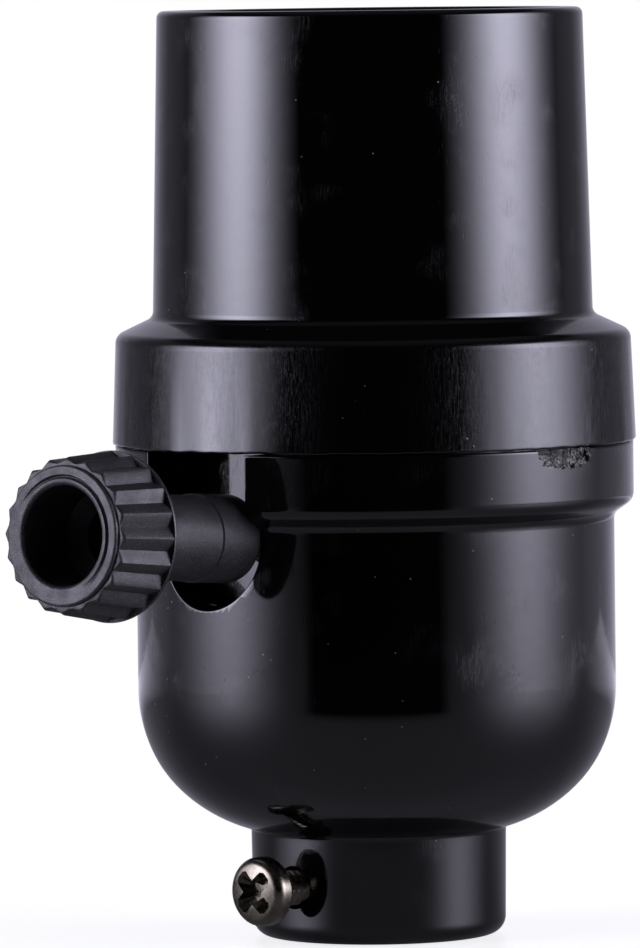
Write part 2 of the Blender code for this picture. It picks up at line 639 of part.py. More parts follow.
def build_knob(frame):
    """Fluted hollow knob and stem in one moulding, along the shaft's +X."""
    rows = knob_rows()
    data = bmesh.new()
    segments = FLUTES * 2
    rings = []
    for height, radius_at in rows:
        if radius_at(0.0) == 0.0:
            rings.append([data.verts.new((0, 0, height))])
            continue
        ring = []
        for step in range(segments):
            angle = math.tau * step / segments
            radius = radius_at(angle)
            ring.append(data.verts.new((radius * math.cos(angle), radius * math.sin(angle), height)))
        rings.append(ring)
    for low, high in zip(rings, rings[1:]):
        for step in range(segments):
            after = (step + 1) % segments
            corners = [low[step % len(low)], low[after % len(low)],
                       high[after % len(high)], high[step % len(high)]]
            data.faces.new(list(dict.fromkeys(corners)))
    knob = make_object("turn_knob", along_x(data), (0.020, 0.020, 0.022), 0.55, 0.0, frame)
    knob.location = (STEM_START, 0, 0)
    ring = [
        (CRESCENT_RADIUS, CRESCENT_WIDTH), (CRESCENT_RADIUS + CRESCENT_WIDTH, CRESCENT_WIDTH),
        (CRESCENT_RADIUS + CRESCENT_WIDTH, -CRESCENT_WIDTH), (CRESCENT_RADIUS, -CRESCENT_WIDTH),
    ]
    groove = along_x(spun(ring, 24))
    tilt = math.atan(CRESCENT_DEPTH / CRESCENT_RADIUS / 2)
    turned_by(groove, Matrix.Rotation(tilt, 4, "Z"))
    face_x = STEM_START + STEM_LENGTH + HEAD_LENGTH
    lift = CRESCENT_WIDTH - CRESCENT_DEPTH / 2
    cut(knob, shifted(groove, face_x + lift, CRESCENT_SHIFT, CRESCENT_SHIFT / 2),
        "crescent_cutter", frame)
    return knob


def build_shaft(frame):
    """Spindle from its blind bearing in the rear wall into the knob's stem."""
    rear = -(POCKET_HALF_LENGTH + BEARING_DEPTH - FIT)
    front = STEM_START + SPINDLE_ENGAGEMENT
    clip_at = POCKET_HALF_LENGTH - FIT - CLIP_THICKNESS
    outline = rounded([
        (0, front, 0), (SPINDLE_RADIUS, front, EDGE_BREAK),
        (SPINDLE_RADIUS, clip_at + CLIP_THICKNESS + FIT / 2, 0),
        (CLIP_GROOVE_RADIUS, clip_at + CLIP_THICKNESS + FIT / 2, 0),
        (CLIP_GROOVE_RADIUS, clip_at - FIT / 2, 0), (SPINDLE_RADIUS, clip_at - FIT / 2, 0),
        (SPINDLE_RADIUS, rear, EDGE_BREAK), (0, rear, 0),
    ])
    shaft = make_object("switch_shaft", along_x(spun(outline, SMALL_SEGMENTS)),
                        (0.62, 0.47, 0.22), 0.3, 1.0, frame)
    inner = CLIP_GROOVE_RADIUS + FIT
    ring = [(inner, 0), (CLIP_RADIUS, 0), (CLIP_RADIUS, CLIP_THICKNESS), (inner, CLIP_THICKNESS)]
    clip = make_object("shaft_clip", along_x(spun(ring[::-1], 24)), (0.5, 0.5, 0.5), 0.3, 1.0, frame)
    clip.location = (clip_at, 0, 0)
    gap = block((clip_at - CLIP_THICKNESS, -CLIP_OPENING / 2, 0),
                (clip_at + CLIP_THICKNESS * 2, CLIP_OPENING / 2, CLIP_RADIUS + OVERCUT))
    cut(clip, gap, "clip_opening_cutter", frame)
    return shaft, clip


def build_rotor(frame):
    """Two lobed contact cam and four sided detent, moulded as one on the spindle."""
    bore = SPINDLE_RADIUS + FIT

    def detent(angle):
        quarter = (angle + math.pi / 4) % (math.pi / 2) - math.pi / 4
        return min(DETENT_FLAT / math.cos(quarter), DETENT_CORNER_RADIUS)

    def cam(angle):
        reach = math.hypot(CAM_WAIST_RADIUS * math.cos(angle), CAM_LOBE_RADIUS * math.sin(angle))
        return CAM_WAIST_RADIUS * CAM_LOBE_RADIUS / reach

    half = CAM_LENGTH / 2
    rows = [
        (-half - DETENT_LENGTH, detent), (-half, detent), (-half, cam), (half, cam),
        (half, lambda angle: bore), (-half - DETENT_LENGTH, lambda angle: bore),
    ]
    data = along_x(ringed(rows, 24))
    return make_object("switch_rotor", data, (0.30, 0.16, 0.08), 0.5, 0.0, frame)


def build_switch_body(frame, shaft_frame):
    """Moulded body: flange under the ring's ledge, flat face to the knob, pocket below."""
    outline = rounded([
        (0, BODY_TOP_Z, 0), (RING_BORE - FLANGE_PLAY, BODY_TOP_Z, EDGE_BREAK),
        (RING_BORE - FLANGE_PLAY, FLANGE_BASE_Z, 0), (BODY_RADIUS, FLANGE_BASE_Z, 0),
        (BODY_RADIUS, BODY_BASE_Z, EDGE_BREAK), (0, BODY_BASE_Z, 0),
    ])
    body = make_object("switch_body", spun(outline), (0.012, 0.012, 0.014), 0.12, 0.0, frame)
    below = BODY_BASE_Z - OVERCUT
    beyond = BODY_RADIUS + OVERCUT
    cut(body, block((BODY_FACE, -beyond, below), (beyond, beyond, FLANGE_BASE_Z)),
        "front_flat_cutter", frame)
    cut(body, block((-POCKET_HALF_LENGTH, -POCKET_HALF_WIDTH, below),
                    (POCKET_HALF_LENGTH, POCKET_HALF_WIDTH, POCKET_TOP_Z)), "pocket_cutter", frame)
    for side, name in ((1, "hot"), (-1, "neutral")):
        near, far = sorted((side * SIDE_FACE, side * beyond))
        cut(body, block((-SIDE_HALF_WIDTH, near, below), (SIDE_HALF_WIDTH, far, SIDE_TOP_Z)),
            name + "_side_cutter", frame)
        inner = RIVET_RING_RADIUS - RIVET_HEAD_RADIUS - FIT
        near, far = sorted((side * inner, side * (SIDE_FACE + FIT)))
        cut(body, block((-RIVET_POCKET_HALF_WIDTH, near, SIDE_TOP_Z - RIVET_POCKET_DEPTH),
                        (RIVET_POCKET_HALF_WIDTH, far, SIDE_TOP_Z)), name + "_rivet_pocket_cutter", frame)
        rivet = rod(RIVET_RADIUS + FIT, SIDE_TOP_Z - OVERCUT, BODY_TOP_Z + OVERCUT)
        cut(body, shifted(rivet, 0, side * RIVET_RING_RADIUS), name + "_rivet_cutter", frame)
        end = PLATE_Y + STRIP_THICKNESS / 2 - TERMINAL_SHANK_LENGTH
        near, far = sorted((side * end, side * (SIDE_FACE + OVERCUT)))
        screw = along_y(rod(TERMINAL_SHANK_RADIUS + FIT, near, far))
        cut(body, shifted(screw, 0, 0, TERMINAL_SCREW_Z), name + "_screw_cutter", frame)
        cover = rod(COVER_SCREW_SHANK_RADIUS + FIT, below,
                    BODY_BASE_Z + COVER_SCREW_LENGTH - COVER_THICKNESS)
        cut(body, shifted(cover, side * COVER_SCREW_X, -side * COVER_SCREW_Y),
            name + "_cover_screw_cutter", frame)
    half_width = STRIP_WIDTH / 2 + FIT
    half_height = STRIP_THICKNESS / 2 + FIT
    slot = block((-half_width, POCKET_HALF_WIDTH - OVERCUT, hot_strip_z() - half_height),
                 (half_width, SIDE_FACE + OVERCUT, hot_strip_z() + half_height))
    cut(body, slot, "contact_slot_cutter", frame)
    centre = rod(RIVET_RADIUS + FIT, POCKET_TOP_Z - OVERCUT, BODY_TOP_Z + OVERCUT)
    cut(body, shifted(centre, 0, -CENTRE_RIVET_Y), "centre_rivet_cutter", frame)
    bearing = rod(SPINDLE_RADIUS + FIT, -(POCKET_HALF_LENGTH + BEARING_DEPTH), BODY_FACE + OVERCUT * 2)
    cut(body, along_x(bearing), "spindle_cutter", shaft_frame)
    return body


def arm_z():
    """Middle of the contact arm where it lies on a raised cam lobe."""
    return SHAFT_Z + CAM_LOBE_RADIUS + FIT + SPRING_THICKNESS / 2


def hot_strip_z():
    """Middle of the fixed contact, below the open arm."""
    return arm_z() - CONTACT_OPENING - STRIP_THICKNESS


def build_cover(frame):
    top = BODY_BASE_Z - FIT
    corners = [(x * COVER_HALF_LENGTH, y * COVER_HALF_WIDTH, COVER_CORNER)
               for x, y in ((1, 1), (-1, 1), (-1, -1), (1, -1))]
    plate = prism(rounded(corners), top - COVER_THICKNESS, top)
    cover = make_object("switch_cover", plate, (0.16, 0.05, 0.03), 0.7, 0.0, frame)
    for side, name in ((1, "front"), (-1, "rear")):
        x = side * COVER_SCREW_X
        y = -side * COVER_SCREW_Y
        hole = rod(COVER_SCREW_SHANK_RADIUS + FIT, top - COVER_THICKNESS * 2, top + COVER_THICKNESS)
        cut(cover, shifted(hole, x, y), name + "_cover_hole_cutter", frame)
        pin = headed_pin(COVER_SCREW_SHANK_RADIUS, COVER_SCREW_LENGTH, COVER_SCREW_HEAD_RADIUS,
                         COVER_SCREW_HEAD_HEIGHT, COVER_SCREW_DOME)
        screw = make_object("cover_screw_" + name, turned_by(pin, Matrix.Rotation(math.pi, 4, "X")),
                            (0.6, 0.6, 0.58), 0.3, 1.0, frame)
        seat = top - COVER_THICKNESS - FIT
        screw.location = (x, y, seat)
        reach = COVER_SCREW_HEAD_RADIUS + OVERCUT
        crown = seat - COVER_SCREW_HEAD_HEIGHT
        slot = block((x - reach, y - DRIVER_SLOT_WIDTH / 2, crown - OVERCUT),
                     (x + reach, y + DRIVER_SLOT_WIDTH / 2, crown + DRIVER_SLOT_DEPTH))
        cut(screw, slot, name + "_cover_screw_slot", frame)


def build_terminals(frame):
    """Hot and neutral strips, each with its screw on the outside of the body."""
    low = TERMINAL_SCREW_Z - TERMINAL_HEAD_RADIUS
    hot_path = [(FIXED_CONTACT_Y, hot_strip_z()), (PLATE_Y, hot_strip_z()), (PLATE_Y, low)]
    leg_z = SIDE_TOP_Z - FIT - STRIP_THICKNESS / 2
    inner = -(RIVET_RING_RADIUS - RIVET_HEAD_RADIUS)
    neutral_path = [(inner, leg_z), (-PLATE_Y, leg_z), (-PLATE_Y, low)]
    brass = (0.62, 0.47, 0.22)
    nickel = (0.55, 0.54, 0.52)
    for name, side, path, colour, width in (
            ("hot", 1, hot_path, brass, STRIP_WIDTH),
            ("neutral", -1, neutral_path, nickel, RIVET_POCKET_HALF_WIDTH * 2 - FIT * 2)):
        strip = make_object(name + "_terminal", folded_strip(path, STRIP_THICKNESS, width),
                            colour, 0.3, 1.0, frame)
        near, far = sorted((side * (SIDE_FACE - OVERCUT), side * (PLATE_Y + OVERCUT)))
        hole = along_y(rod(TERMINAL_SHANK_RADIUS + FIT, near, far))
        cut(strip, shifted(hole, 0, 0, TERMINAL_SCREW_Z), name + "_strip_hole_cutter", frame)
        if side < 0:
            rivet = rod(RIVET_RADIUS + FIT, leg_z - OVERCUT, leg_z + OVERCUT)
            cut(strip, shifted(rivet, 0, -RIVET_RING_RADIUS), "strip_rivet_cutter", frame)
        pin = headed_pin(TERMINAL_SHANK_RADIUS, TERMINAL_SHANK_LENGTH, TERMINAL_HEAD_RADIUS,
                         TERMINAL_HEAD_HEIGHT, TERMINAL_DOME)
        seat = PLATE_Y + STRIP_THICKNESS / 2 + FIT
        spin = Matrix.Rotation(-side * math.pi / 2, 4, "X")
        screw = make_object(name + "_screw", turned_by(pin, spin), colour, 0.25, 1.0, frame)
        screw.location = (0, side * seat, TERMINAL_SCREW_Z)
        crown = seat + TERMINAL_HEAD_HEIGHT
        near, far = sorted((side * (crown - DRIVER_SLOT_DEPTH), side * (crown + OVERCUT)))
        reach = TERMINAL_HEAD_RADIUS + OVERCUT
        slot = block((-reach, near, TERMINAL_SCREW_Z - DRIVER_SLOT_WIDTH / 2),
                     (reach, far, TERMINAL_SCREW_Z + DRIVER_SLOT_WIDTH / 2))
        cut(screw, slot, name + "_screw_slot_cutter", frame)


def build_contact_arm(frame):
    anchor_z = POCKET_TOP_Z - FIT - SPRING_THICKNESS / 2
    path = [
        (-POCKET_HALF_WIDTH + FIT, anchor_z),
        (-CENTRE_RIVET_Y + RIVET_HEAD_RADIUS + FIT, anchor_z),
        (-CENTRE_RIVET_Y + RIVET_HEAD_RADIUS + FIT + ARM_BEND, arm_z()),
        (ARM_TIP_Y, arm_z()),
    ]
    arm = make_object("contact_arm", folded_strip(path, SPRING_THICKNESS, ARM_WIDTH),
                      (0.55, 0.36, 0.20), 0.3, 1.0, frame)
    hole = rod(RIVET_RADIUS + FIT, anchor_z - OVERCUT, anchor_z + OVERCUT)
    cut(arm, shifted(hole, 0, -CENTRE_RIVET_Y), "arm_rivet_cutter", frame)
    return arm


def build_detent_spring(frame):
    """Bowed leaf beside the rotor's flats, with its ends against the pocket's wall."""
    wall = -POCKET_HALF_WIDTH + FIT + SPRING_THICKNESS / 2
    bow = -(DETENT_CORNER_RADIUS + FIT + SPRING_THICKNESS / 2)
    path = [
        (wall, SHAFT_Z - DETENT_SPRING_HALF_HEIGHT), (bow, SHAFT_Z - DETENT_SPRING_FLAT),
        (bow, SHAFT_Z + DETENT_SPRING_FLAT), (wall, SHAFT_Z + DETENT_SPRING_HALF_HEIGHT),
    ]
    spring = folded_strip(path, SPRING_THICKNESS, DETENT_SPRING_WIDTH)
    obj = make_object("detent_spring", spring, (0.5, 0.5, 0.5), 0.3, 1.0, frame)
    obj.location = (-(CAM_LENGTH + DETENT_LENGTH) / 2, 0, 0)
    return obj


def build_screw_shell(frame):
    """Rolled thread shell: a helical wave in thin sheet, with a flat foot to rivet down."""
    mean = THREAD_CREST_RADIUS + THREAD_HEIGHT / 2
    low = SHELL_BASE_Z + SHELL_THICKNESS + SHELL_FOOT_RISE
    length = THREAD_PITCH * THREAD_TURNS

    def wave(height, grow):
        from_end = min(height - low, low + length - height)
        depth = THREAD_HEIGHT / 2 * min(1.0, from_end / THREAD_RUNOUT)

        def radius_at(angle):
            return mean + grow + depth * math.sin(math.tau * (height - low) / THREAD_PITCH - angle)
        return radius_at

    def plain(radius):
        return lambda angle: radius

    count = THREAD_TURNS * THREAD_ROWS
    heights = [low + length * step / count for step in range(count + 1)]
    top = low + length + SHELL_LIP_RISE
    foot = SHELL_BASE_Z + SHELL_THICKNESS
    outer = mean + SHELL_THICKNESS
    rows = [(top, plain(outer))]
    rows += [(height, wave(height, SHELL_THICKNESS)) for height in reversed(heights)]
    rows += [
        (foot, plain(outer)),
        (SHELL_BASE_Z, plain(outer - SHELL_THICKNESS)),
        (SHELL_BASE_Z, plain(SHELL_FOOT_RADIUS)),
        (foot, plain(SHELL_FOOT_RADIUS)),
        (foot, plain(mean - SHELL_THICKNESS)),
        (foot + SHELL_THICKNESS, plain(mean)),
    ]
    rows += [(height, wave(height, 0.0)) for height in heights]
    rows += [(top, plain(mean))]
    shell = make_object("screw_shell", ringed(rows, THREAD_SEGMENTS),
                        (0.75, 0.74, 0.72), 0.3, 1.0, frame)
    for side, name in ((1, "hot"), (-1, "neutral")):
        hole = rod(RIVET_RADIUS + FIT, SHELL_BASE_Z - OVERCUT, foot + OVERCUT)
        cut(shell, shifted(hole, 0, side * RIVET_RING_RADIUS), name + "_foot_cutter", frame)
    return shell


def build_washer(frame):
    """Fibre washer between the switch body and the foot of the screw shell."""
    top = WASHER_BASE_Z + WASHER_THICKNESS
    ring = [(SHELL_FOOT_RADIUS, top), (WASHER_OUTER_RADIUS, top),
            (WASHER_OUTER_RADIUS, WASHER_BASE_Z), (SHELL_FOOT_RADIUS, WASHER_BASE_Z)]
    washer = make_object("shell_washer", spun(ring, THREAD_SEGMENTS), (0.16, 0.05, 0.03), 0.7, 0.0, frame)
    for side, name in ((1, "hot"), (-1, "neutral")):
        hole = rod(RIVET_RADIUS + FIT, WASHER_BASE_Z - OVERCUT, top + OVERCUT)
        cut(washer, shifted(hole, 0, side * RIVET_RING_RADIUS), name + "_washer_cutter", frame)
    return washer


def build_rivet(name, frame, y, upper_seat, lower_seat, colour):
    """Rivet through the stack, with a domed head above and an upset head below."""
    outline = rounded([
        (0, upper_seat + RIVET_HEAD_HEIGHT, 0),
        (RIVET_HEAD_RADIUS, upper_seat + RIVET_HEAD_HEIGHT, RIVET_DOME),
        (RIVET_HEAD_RADIUS, upper_seat, 0), (RIVET_RADIUS, upper_seat, 0),
        (RIVET_RADIUS, lower_seat, 0), (RIVET_HEAD_RADIUS, lower_seat, 0),
        (RIVET_HEAD_RADIUS, lower_seat - RIVET_HEAD_HEIGHT, RIVET_DOME),
        (0, lower_seat - RIVET_HEAD_HEIGHT, 0),
    ])
    rivet = make_object(name, spun(outline, 12), colour, 0.3, 1.0, frame)
    rivet.location = (0, y, 0)
    return rivet


def build_rivets(frame):
    foot_top = SHELL_BASE_Z + SHELL_THICKNESS + FIT
    neutral_seat = SIDE_TOP_Z - FIT - STRIP_THICKNESS - FIT
    nickel = (0.55, 0.54, 0.52)
    build_rivet("shell_rivet_hot_side", frame, RIVET_RING_RADIUS, foot_top, SIDE_TOP_Z - FIT, nickel)
    build_rivet("shell_rivet_neutral_side", frame, -RIVET_RING_RADIUS, foot_top, neutral_seat, nickel)
    upper = BODY_TOP_Z + FIT + SPRING_THICKNESS + FIT
    lower = POCKET_TOP_Z - FIT - SPRING_THICKNESS - FIT
    build_rivet("centre_rivet", frame, -CENTRE_RIVET_Y, upper, lower, (0.62, 0.47, 0.22))


def build_centre_contact(frame):
    """Leaf that rises from its rivet to the middle of the screw shell's floor."""
    base = BODY_TOP_Z + FIT + SPRING_THICKNESS / 2
    heel = -CENTRE_RIVET_Y + RIVET_HEAD_RADIUS + FIT
    path = [
        (-CENTRE_RIVET_Y - RIVET_HEAD_RADIUS - FIT, base), (heel, base),
        (CENTRE_CONTACT_KNEE[0], base + CENTRE_CONTACT_KNEE[1]),
        (CENTRE_CONTACT_CREST_Y, base + CENTRE_CONTACT_RISE),
        (CENTRE_CONTACT_REACH, base + CENTRE_CONTACT_RISE - CENTRE_CONTACT_CURL),
    ]
    leaf = make_object("centre_contact", folded_strip(path, SPRING_THICKNESS, CENTRE_CONTACT_WIDTH),
                       (0.62, 0.47, 0.22), 0.28, 1.0, frame)
    hole = rod(RIVET_RADIUS + FIT, base - OVERCUT, base + OVERCUT)
    cut(leaf, shifted(hole, 0, -CENTRE_RIVET_Y), "leaf_rivet_cutter", frame)
    return leaf


def main():
    clear_scene()
    interior = make_frame("interior_frame", rotation=(0, 0, heading(SHAFT_AZIMUTH)))
    shaft_frame = make_frame("shaft_frame", (0, 0, SHAFT_Z), (0, -math.radians(SHAFT_TILT), 0), interior)
    build_upper_shell()
    build_lower_cap()
    build_neck_insert()
    build_set_screw()
    build_knob(shaft_frame)
    build_shaft(shaft_frame)
    build_rotor(shaft_frame)
    build_switch_body(interior, shaft_frame)
    build_cover(interior)
    build_terminals(interior)
    build_contact_arm(interior)
    build_detent_spring(interior)
    build_screw_shell(interior)
    build_washer(interior)
    build_rivets(interior)
    build_centre_contact(interior)


main()
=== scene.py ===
"""Finishes, fine forms and studio for a turn knob lamp socket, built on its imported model.

Metres, +Z up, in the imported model's own frame: the origin is on the socket's axis at the
mouth of its neck, and the side towards the camera is -Y.
"""
import math

import bmesh
import bpy
from bpy.props import FloatProperty, FloatVectorProperty, IntProperty, PointerProperty
from mathutils import Matrix, Vector, noise


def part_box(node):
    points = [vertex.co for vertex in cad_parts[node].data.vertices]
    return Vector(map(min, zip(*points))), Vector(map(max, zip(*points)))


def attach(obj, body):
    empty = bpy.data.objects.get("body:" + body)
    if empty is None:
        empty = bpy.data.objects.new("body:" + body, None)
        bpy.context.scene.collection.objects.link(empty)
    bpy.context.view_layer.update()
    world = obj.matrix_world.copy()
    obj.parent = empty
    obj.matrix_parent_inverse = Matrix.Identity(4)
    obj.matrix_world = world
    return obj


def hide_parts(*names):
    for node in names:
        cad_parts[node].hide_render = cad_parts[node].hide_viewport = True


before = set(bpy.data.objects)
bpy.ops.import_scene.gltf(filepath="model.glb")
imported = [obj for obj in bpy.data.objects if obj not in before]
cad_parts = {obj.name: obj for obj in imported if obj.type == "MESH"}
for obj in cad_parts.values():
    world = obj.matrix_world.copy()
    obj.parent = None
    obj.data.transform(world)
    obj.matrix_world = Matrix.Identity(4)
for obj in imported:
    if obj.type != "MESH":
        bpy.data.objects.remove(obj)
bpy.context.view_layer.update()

bl_info = {
    "name": "Turn knob lamp socket",
    "version": (1, 0, 0),
    "blender": (4, 5, 0),
    "location": "View3D > Sidebar > Socket",
    "description": "Adds the finishes, fine forms and studio of a turn knob lamp socket",
    "category": "Object",
}

SHELL_LOW, SHELL_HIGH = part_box("upper_shell")
CAP_LOW, CAP_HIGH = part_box("lower_cap")
THREAD_LOW, THREAD_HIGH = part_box("screw_shell")
BUSHING_LOW, BUSHING_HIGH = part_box("neck_bushing")

TINY = 1e-7
# Steps round the moulded shells, and the rounding of edges that are nearly out of sight.
MOULDING_SEGMENTS = 192
INNER_EDGE = 0.0002
# Kinds of node, and settings that several nodes share.
MATH = "ShaderNodeMath"
RAMP = "ShaderNodeMapRange"
MIX = "ShaderNodeMix"
NOISE = "ShaderNodeTexNoise"
CELLS = "ShaderNodeTexVoronoi"
BUMP = "ShaderNodeBump"
PRINCIPLED = "ShaderNodeBsdfPrincipled"
LIGHT_PATH = "ShaderNodeLightPath"
MIXED_COLOUR = {"data_type": "RGBA", "output": 2}
SMOOTH = {"interpolation_type": "SMOOTHSTEP"}
# Asks for the list of all outputs of a node.
EVERY = slice(None)


def linear(hex_colour):
    """Turn an sRGB hex colour into linear red, green, blue and alpha."""
    values = [int(hex_colour[start:start + 2], 16) / 255 for start in (1, 3, 5)]
    even = [value / 12.92 if value <= 0.04045 else ((value + 0.055) / 1.055) ** 2.4 for value in values]
    return (*even, 1.0)


def colour(name, hex_colour, description):
    """A colour, given as an sRGB hex value."""
    return FloatVectorProperty(name=name, description=description, subtype="COLOR", size=4,
                               min=0.0, max=1.0, default=linear(hex_colour))


def metres(name, description, default):
    """A length, given in metres."""
    return FloatProperty(name=name, description=description, default=default, subtype="DISTANCE",
                         unit="LENGTH", precision=5)


def degrees(name, description, default):
    """An angle, given in degrees and kept in radians."""
    return FloatProperty(name=name, description=description, default=math.radians(default),
                         subtype="ANGLE", unit="ROTATION")


class SocketShellSizes(bpy.types.PropertyGroup):
    """Sizes of the two moulded shells."""
    barrel_base_radius: metres(
        "Barrel base radius", "Outside of the barrel where it meets the shoulder", 0.01737)
    barrel_top_radius: metres("Barrel top radius", "Outside of the barrel at its rim", 0.01678)
    barrel_wall_base: metres("Barrel wall at the base", "Wall of the barrel beside the ledge", 0.0028)
    barrel_wall_top: metres("Barrel wall at the rim", "Wall of the barrel at its rim", 0.0019)
    lip_radius: metres("Lip rounding", "Rounding of the barrel's rim", 0.00055)
    shoulder_rise: metres("Shoulder rise", "Height of the slope between ring and barrel", 0.0014)
    shoulder_fillet: metres("Shoulder fillet", "Rounding where the barrel meets the slope", 0.0008)
    ring_height: metres("Ring height", "Height of the wide ring", 0.00854)
    ring_base_radius: metres("Ring base radius", "Outside of the ring at the seam", 0.02065)
    ring_top_radius: metres("Ring top radius", "Outside of the ring below its corner", 0.02033)
    ring_corner: metres("Ring corner", "Rounding of the ring's upper corner", 0.001)
    ring_wall: metres("Ring wall", "Wall of the ring", 0.00205)
    ring_bore_depth: metres("Ring bore depth", "From the seam to the ledge over the switch", 0.00616)
    seam_edge: metres("Seam edge", "Rounding of both edges beside the seam", 0.00013)
    seam_gap: metres("Seam gap", "Fine gap between the ring and the cap", 0.00012)
    flash_height: metres("Flash", "How ragged the ring's lower edge is", 0.00009)
    band_height: metres("Band height", "Height of the cap's band below the seam", 0.0052)
    band_radius: metres("Band radius", "Outside of the cap's band", 0.02046)
    band_corner: metres("Band corner", "Rounding of the band's lower corner", 0.0011)
    step_lean: metres("Step lean", "How far the step under the band slopes down", 0.0011)
    step_fillet: metres("Step fillet", "Hollow rounding under the band", 0.0008)
    spigot_radius: metres("Spigot radius", "Outside of the spigot inside the ring", 0.0183)
    bowl_radius: metres("Bowl radius", "Outside of the cap's bowl", 0.0189)
    bowl_corner: metres("Bowl rounding", "Radius of the bowl's round lower part", 0.01174)
    bowl_lift: metres("Bowl lift", "How much flatter the bowl's bottom is than a round", 0.00025)
    bowl_wall: metres("Bowl wall", "Wall of the bowl", 0.00248)
    neck_radius: metres("Neck radius", "Outside of the neck", 0.01008)
    neck_draft: metres("Neck draft", "How much narrower the neck is at its mouth", 0.0001)
    neck_length: metres("Neck length", "From the neck's mouth to the bowl", 0.0083)
    neck_corner: metres("Neck corner", "Rounding of the neck's lower edge", 0.0016)
    neck_wall: metres("Neck wall", "Wall of the neck round the metal bushing", 0.003)
    neck_fillet: metres("Neck fillet", "Hollow rounding between neck and bowl", 0.0009)
    slot_azimuth: degrees("Slot direction", "Keyhole slot, from the front towards the left", 44.6)
    slot_half_width: metres("Slot half width", "Half of the slot's straight part", 0.0053)
    hole_radius: metres("Hole radius", "Round end of the keyhole slot", 0.0053)
    hole_height: metres("Hole height", "Centre of the round end above the neck's mouth", 0.03205)
    slot_edge: metres("Slot edge", "Rounding of the slot's outer edge", 0.00015)
    chip_azimuth: degrees(
        "Chip direction", "Chip in the band's rim, from the front towards the left", -46.6)
    chip_width: metres("Chip width", "Width of the chip along the rim", 0.0058)
    chip_height: metres("Chip height", "How far the chip reaches below the rim", 0.00152)
    chip_depth: metres("Chip depth", "How deep the chip goes", 0.0006)


class SocketKnobSizes(bpy.types.PropertyGroup):
    """Sizes of the turn knob and its stem."""
    azimuth: degrees("Shaft direction", "Knob's axis, from the front towards the left", 38.3)
    tilt: degrees("Shaft tilt", "Rise of the knob's axis outwards", 3.85)
    shaft_height: metres("Shaft height", "Shaft above the neck's mouth, on the socket's axis", 0.03114)
    stem_start: metres("Stem start", "From the socket's axis to the stem's inner end", 0.01855)
    stem_length: metres("Stem length", "From the stem's inner end to the head", 0.01405)
    stem_radius: metres("Stem radius", "Outside of the stem's inner end", 0.00345)
    stem_step: metres("Stem step", "How much thinner the stem's outer part is", 0.00012)
    stem_step_at: metres("Stem step place", "From the stem's inner end to the step", 0.0045)
    head_length: metres("Head length", "Length of the fluted head", 0.00595)
    head_back_radius: metres("Head back radius", "Tips of the flutes at the back", 0.0066)
    head_front_radius: metres("Head front radius", "Tips of the flutes at the front", 0.00603)
    rim_length: metres("Back rim", "Plain rim behind the flutes", 0.00035)
    flutes: IntProperty(
        name="Flutes", description="Number of flutes round the head", default=20, min=6, max=40)
    flute_depth: metres("Flute depth", "From the tips to the valleys", 0.0005)
    flute_bevel: metres("Flute bevel", "Bevel at the front of each flute's tip", 0.0003)
    face_radius: metres("Face radius", "Outside of the flat face ring", 0.0054)
    face_step: metres("Face step", "How far the face ring stands proud of the flutes", 0.00035)
    bore_radius: metres("Hollow radius", "Open hollow in the face", 0.00385)
    bore_end_radius: metres("Hollow end radius", "Narrow inner part of the hollow", 0.0024)
    bore_depth: metres("Hollow depth", "Depth of the open hollow", 0.01235)
    groove_depth: metres("Crescent depth", "Deepest part of the crescent groove in the face", 0.0003)


class SocketScrewSizes(bpy.types.PropertyGroup):
    """Sizes of the threads and screws."""
    azimuth: degrees("Set screw direction", "Set screw, from the front towards the left", 42.0)
    height: metres("Set screw height", "Set screw above the neck's mouth", 0.00445)
    seat: metres("Head seat", "From the socket's axis to the underside of the head", 0.01315)
    head_radius: metres("Head radius", "Pan head", 0.00273)
    head_height: metres("Head height", "Pan head", 0.00175)
    shank_radius: metres("Shank radius", "Crest of the set screw's thread", 0.00142)
    shank_length: metres("Shank length", "From the head's underside to the point", 0.00635)
    shank_pitch: metres("Set screw pitch", "40 threads to the inch", 0.000635)
    bulb_pitch: metres("Bulb thread pitch", "7 threads to the inch", 0.0036286)
    bulb_thread_depth: metres("Bulb thread depth", "From crest to valley of the rolled thread", 0.0008)
    sheet: metres("Shell sheet", "Sheet of the rolled screw shell", 0.0004)
    pipe_pitch: metres("Pipe thread pitch", "27 threads to the inch", 0.000941)
    pipe_depth: metres("Pipe thread depth", "From crest to valley of the pipe thread", 0.0005)
    pipe_radius: metres("Pipe thread radius", "Middle of the pipe thread", 0.00475)


class SocketColours(bpy.types.PropertyGroup):
    """Colours of the finishes."""
    phenolic: colour("Phenolic", "#040404", "Polished black moulding")
    phenolic_dust: colour("Dust", "#6f6d69", "Dust and scuffs on the black moulding")
    fracture: colour("Broken phenolic", "#7c776f", "Filler grains in the chip")
    knob: colour("Knob", "#1b1b1c", "Satin black moulding")
    nickel: colour("Dark nickel", "#686358", "Handled nickel plate")
    zinc: colour("Zinc", "#bdbbb5", "Zinc plate and casting")
    brass: colour("Brass", "#c9a561", "Stamped brass")
    bronze: colour("Bronze", "#b98a62", "Spring bronze")
    aluminium: colour("Aluminium", "#d9d8d5", "Rolled sheet")
    fibre: colour("Fibre", "#7a3026", "Vulcanised fibre")
    rotor: colour("Rotor", "#6a4a33", "Brown moulding")
    floor: colour("Floor", "#bfbebc", "Pale studio floor")
    light: colour("Light", "#eae8ff", "Cool studio light")


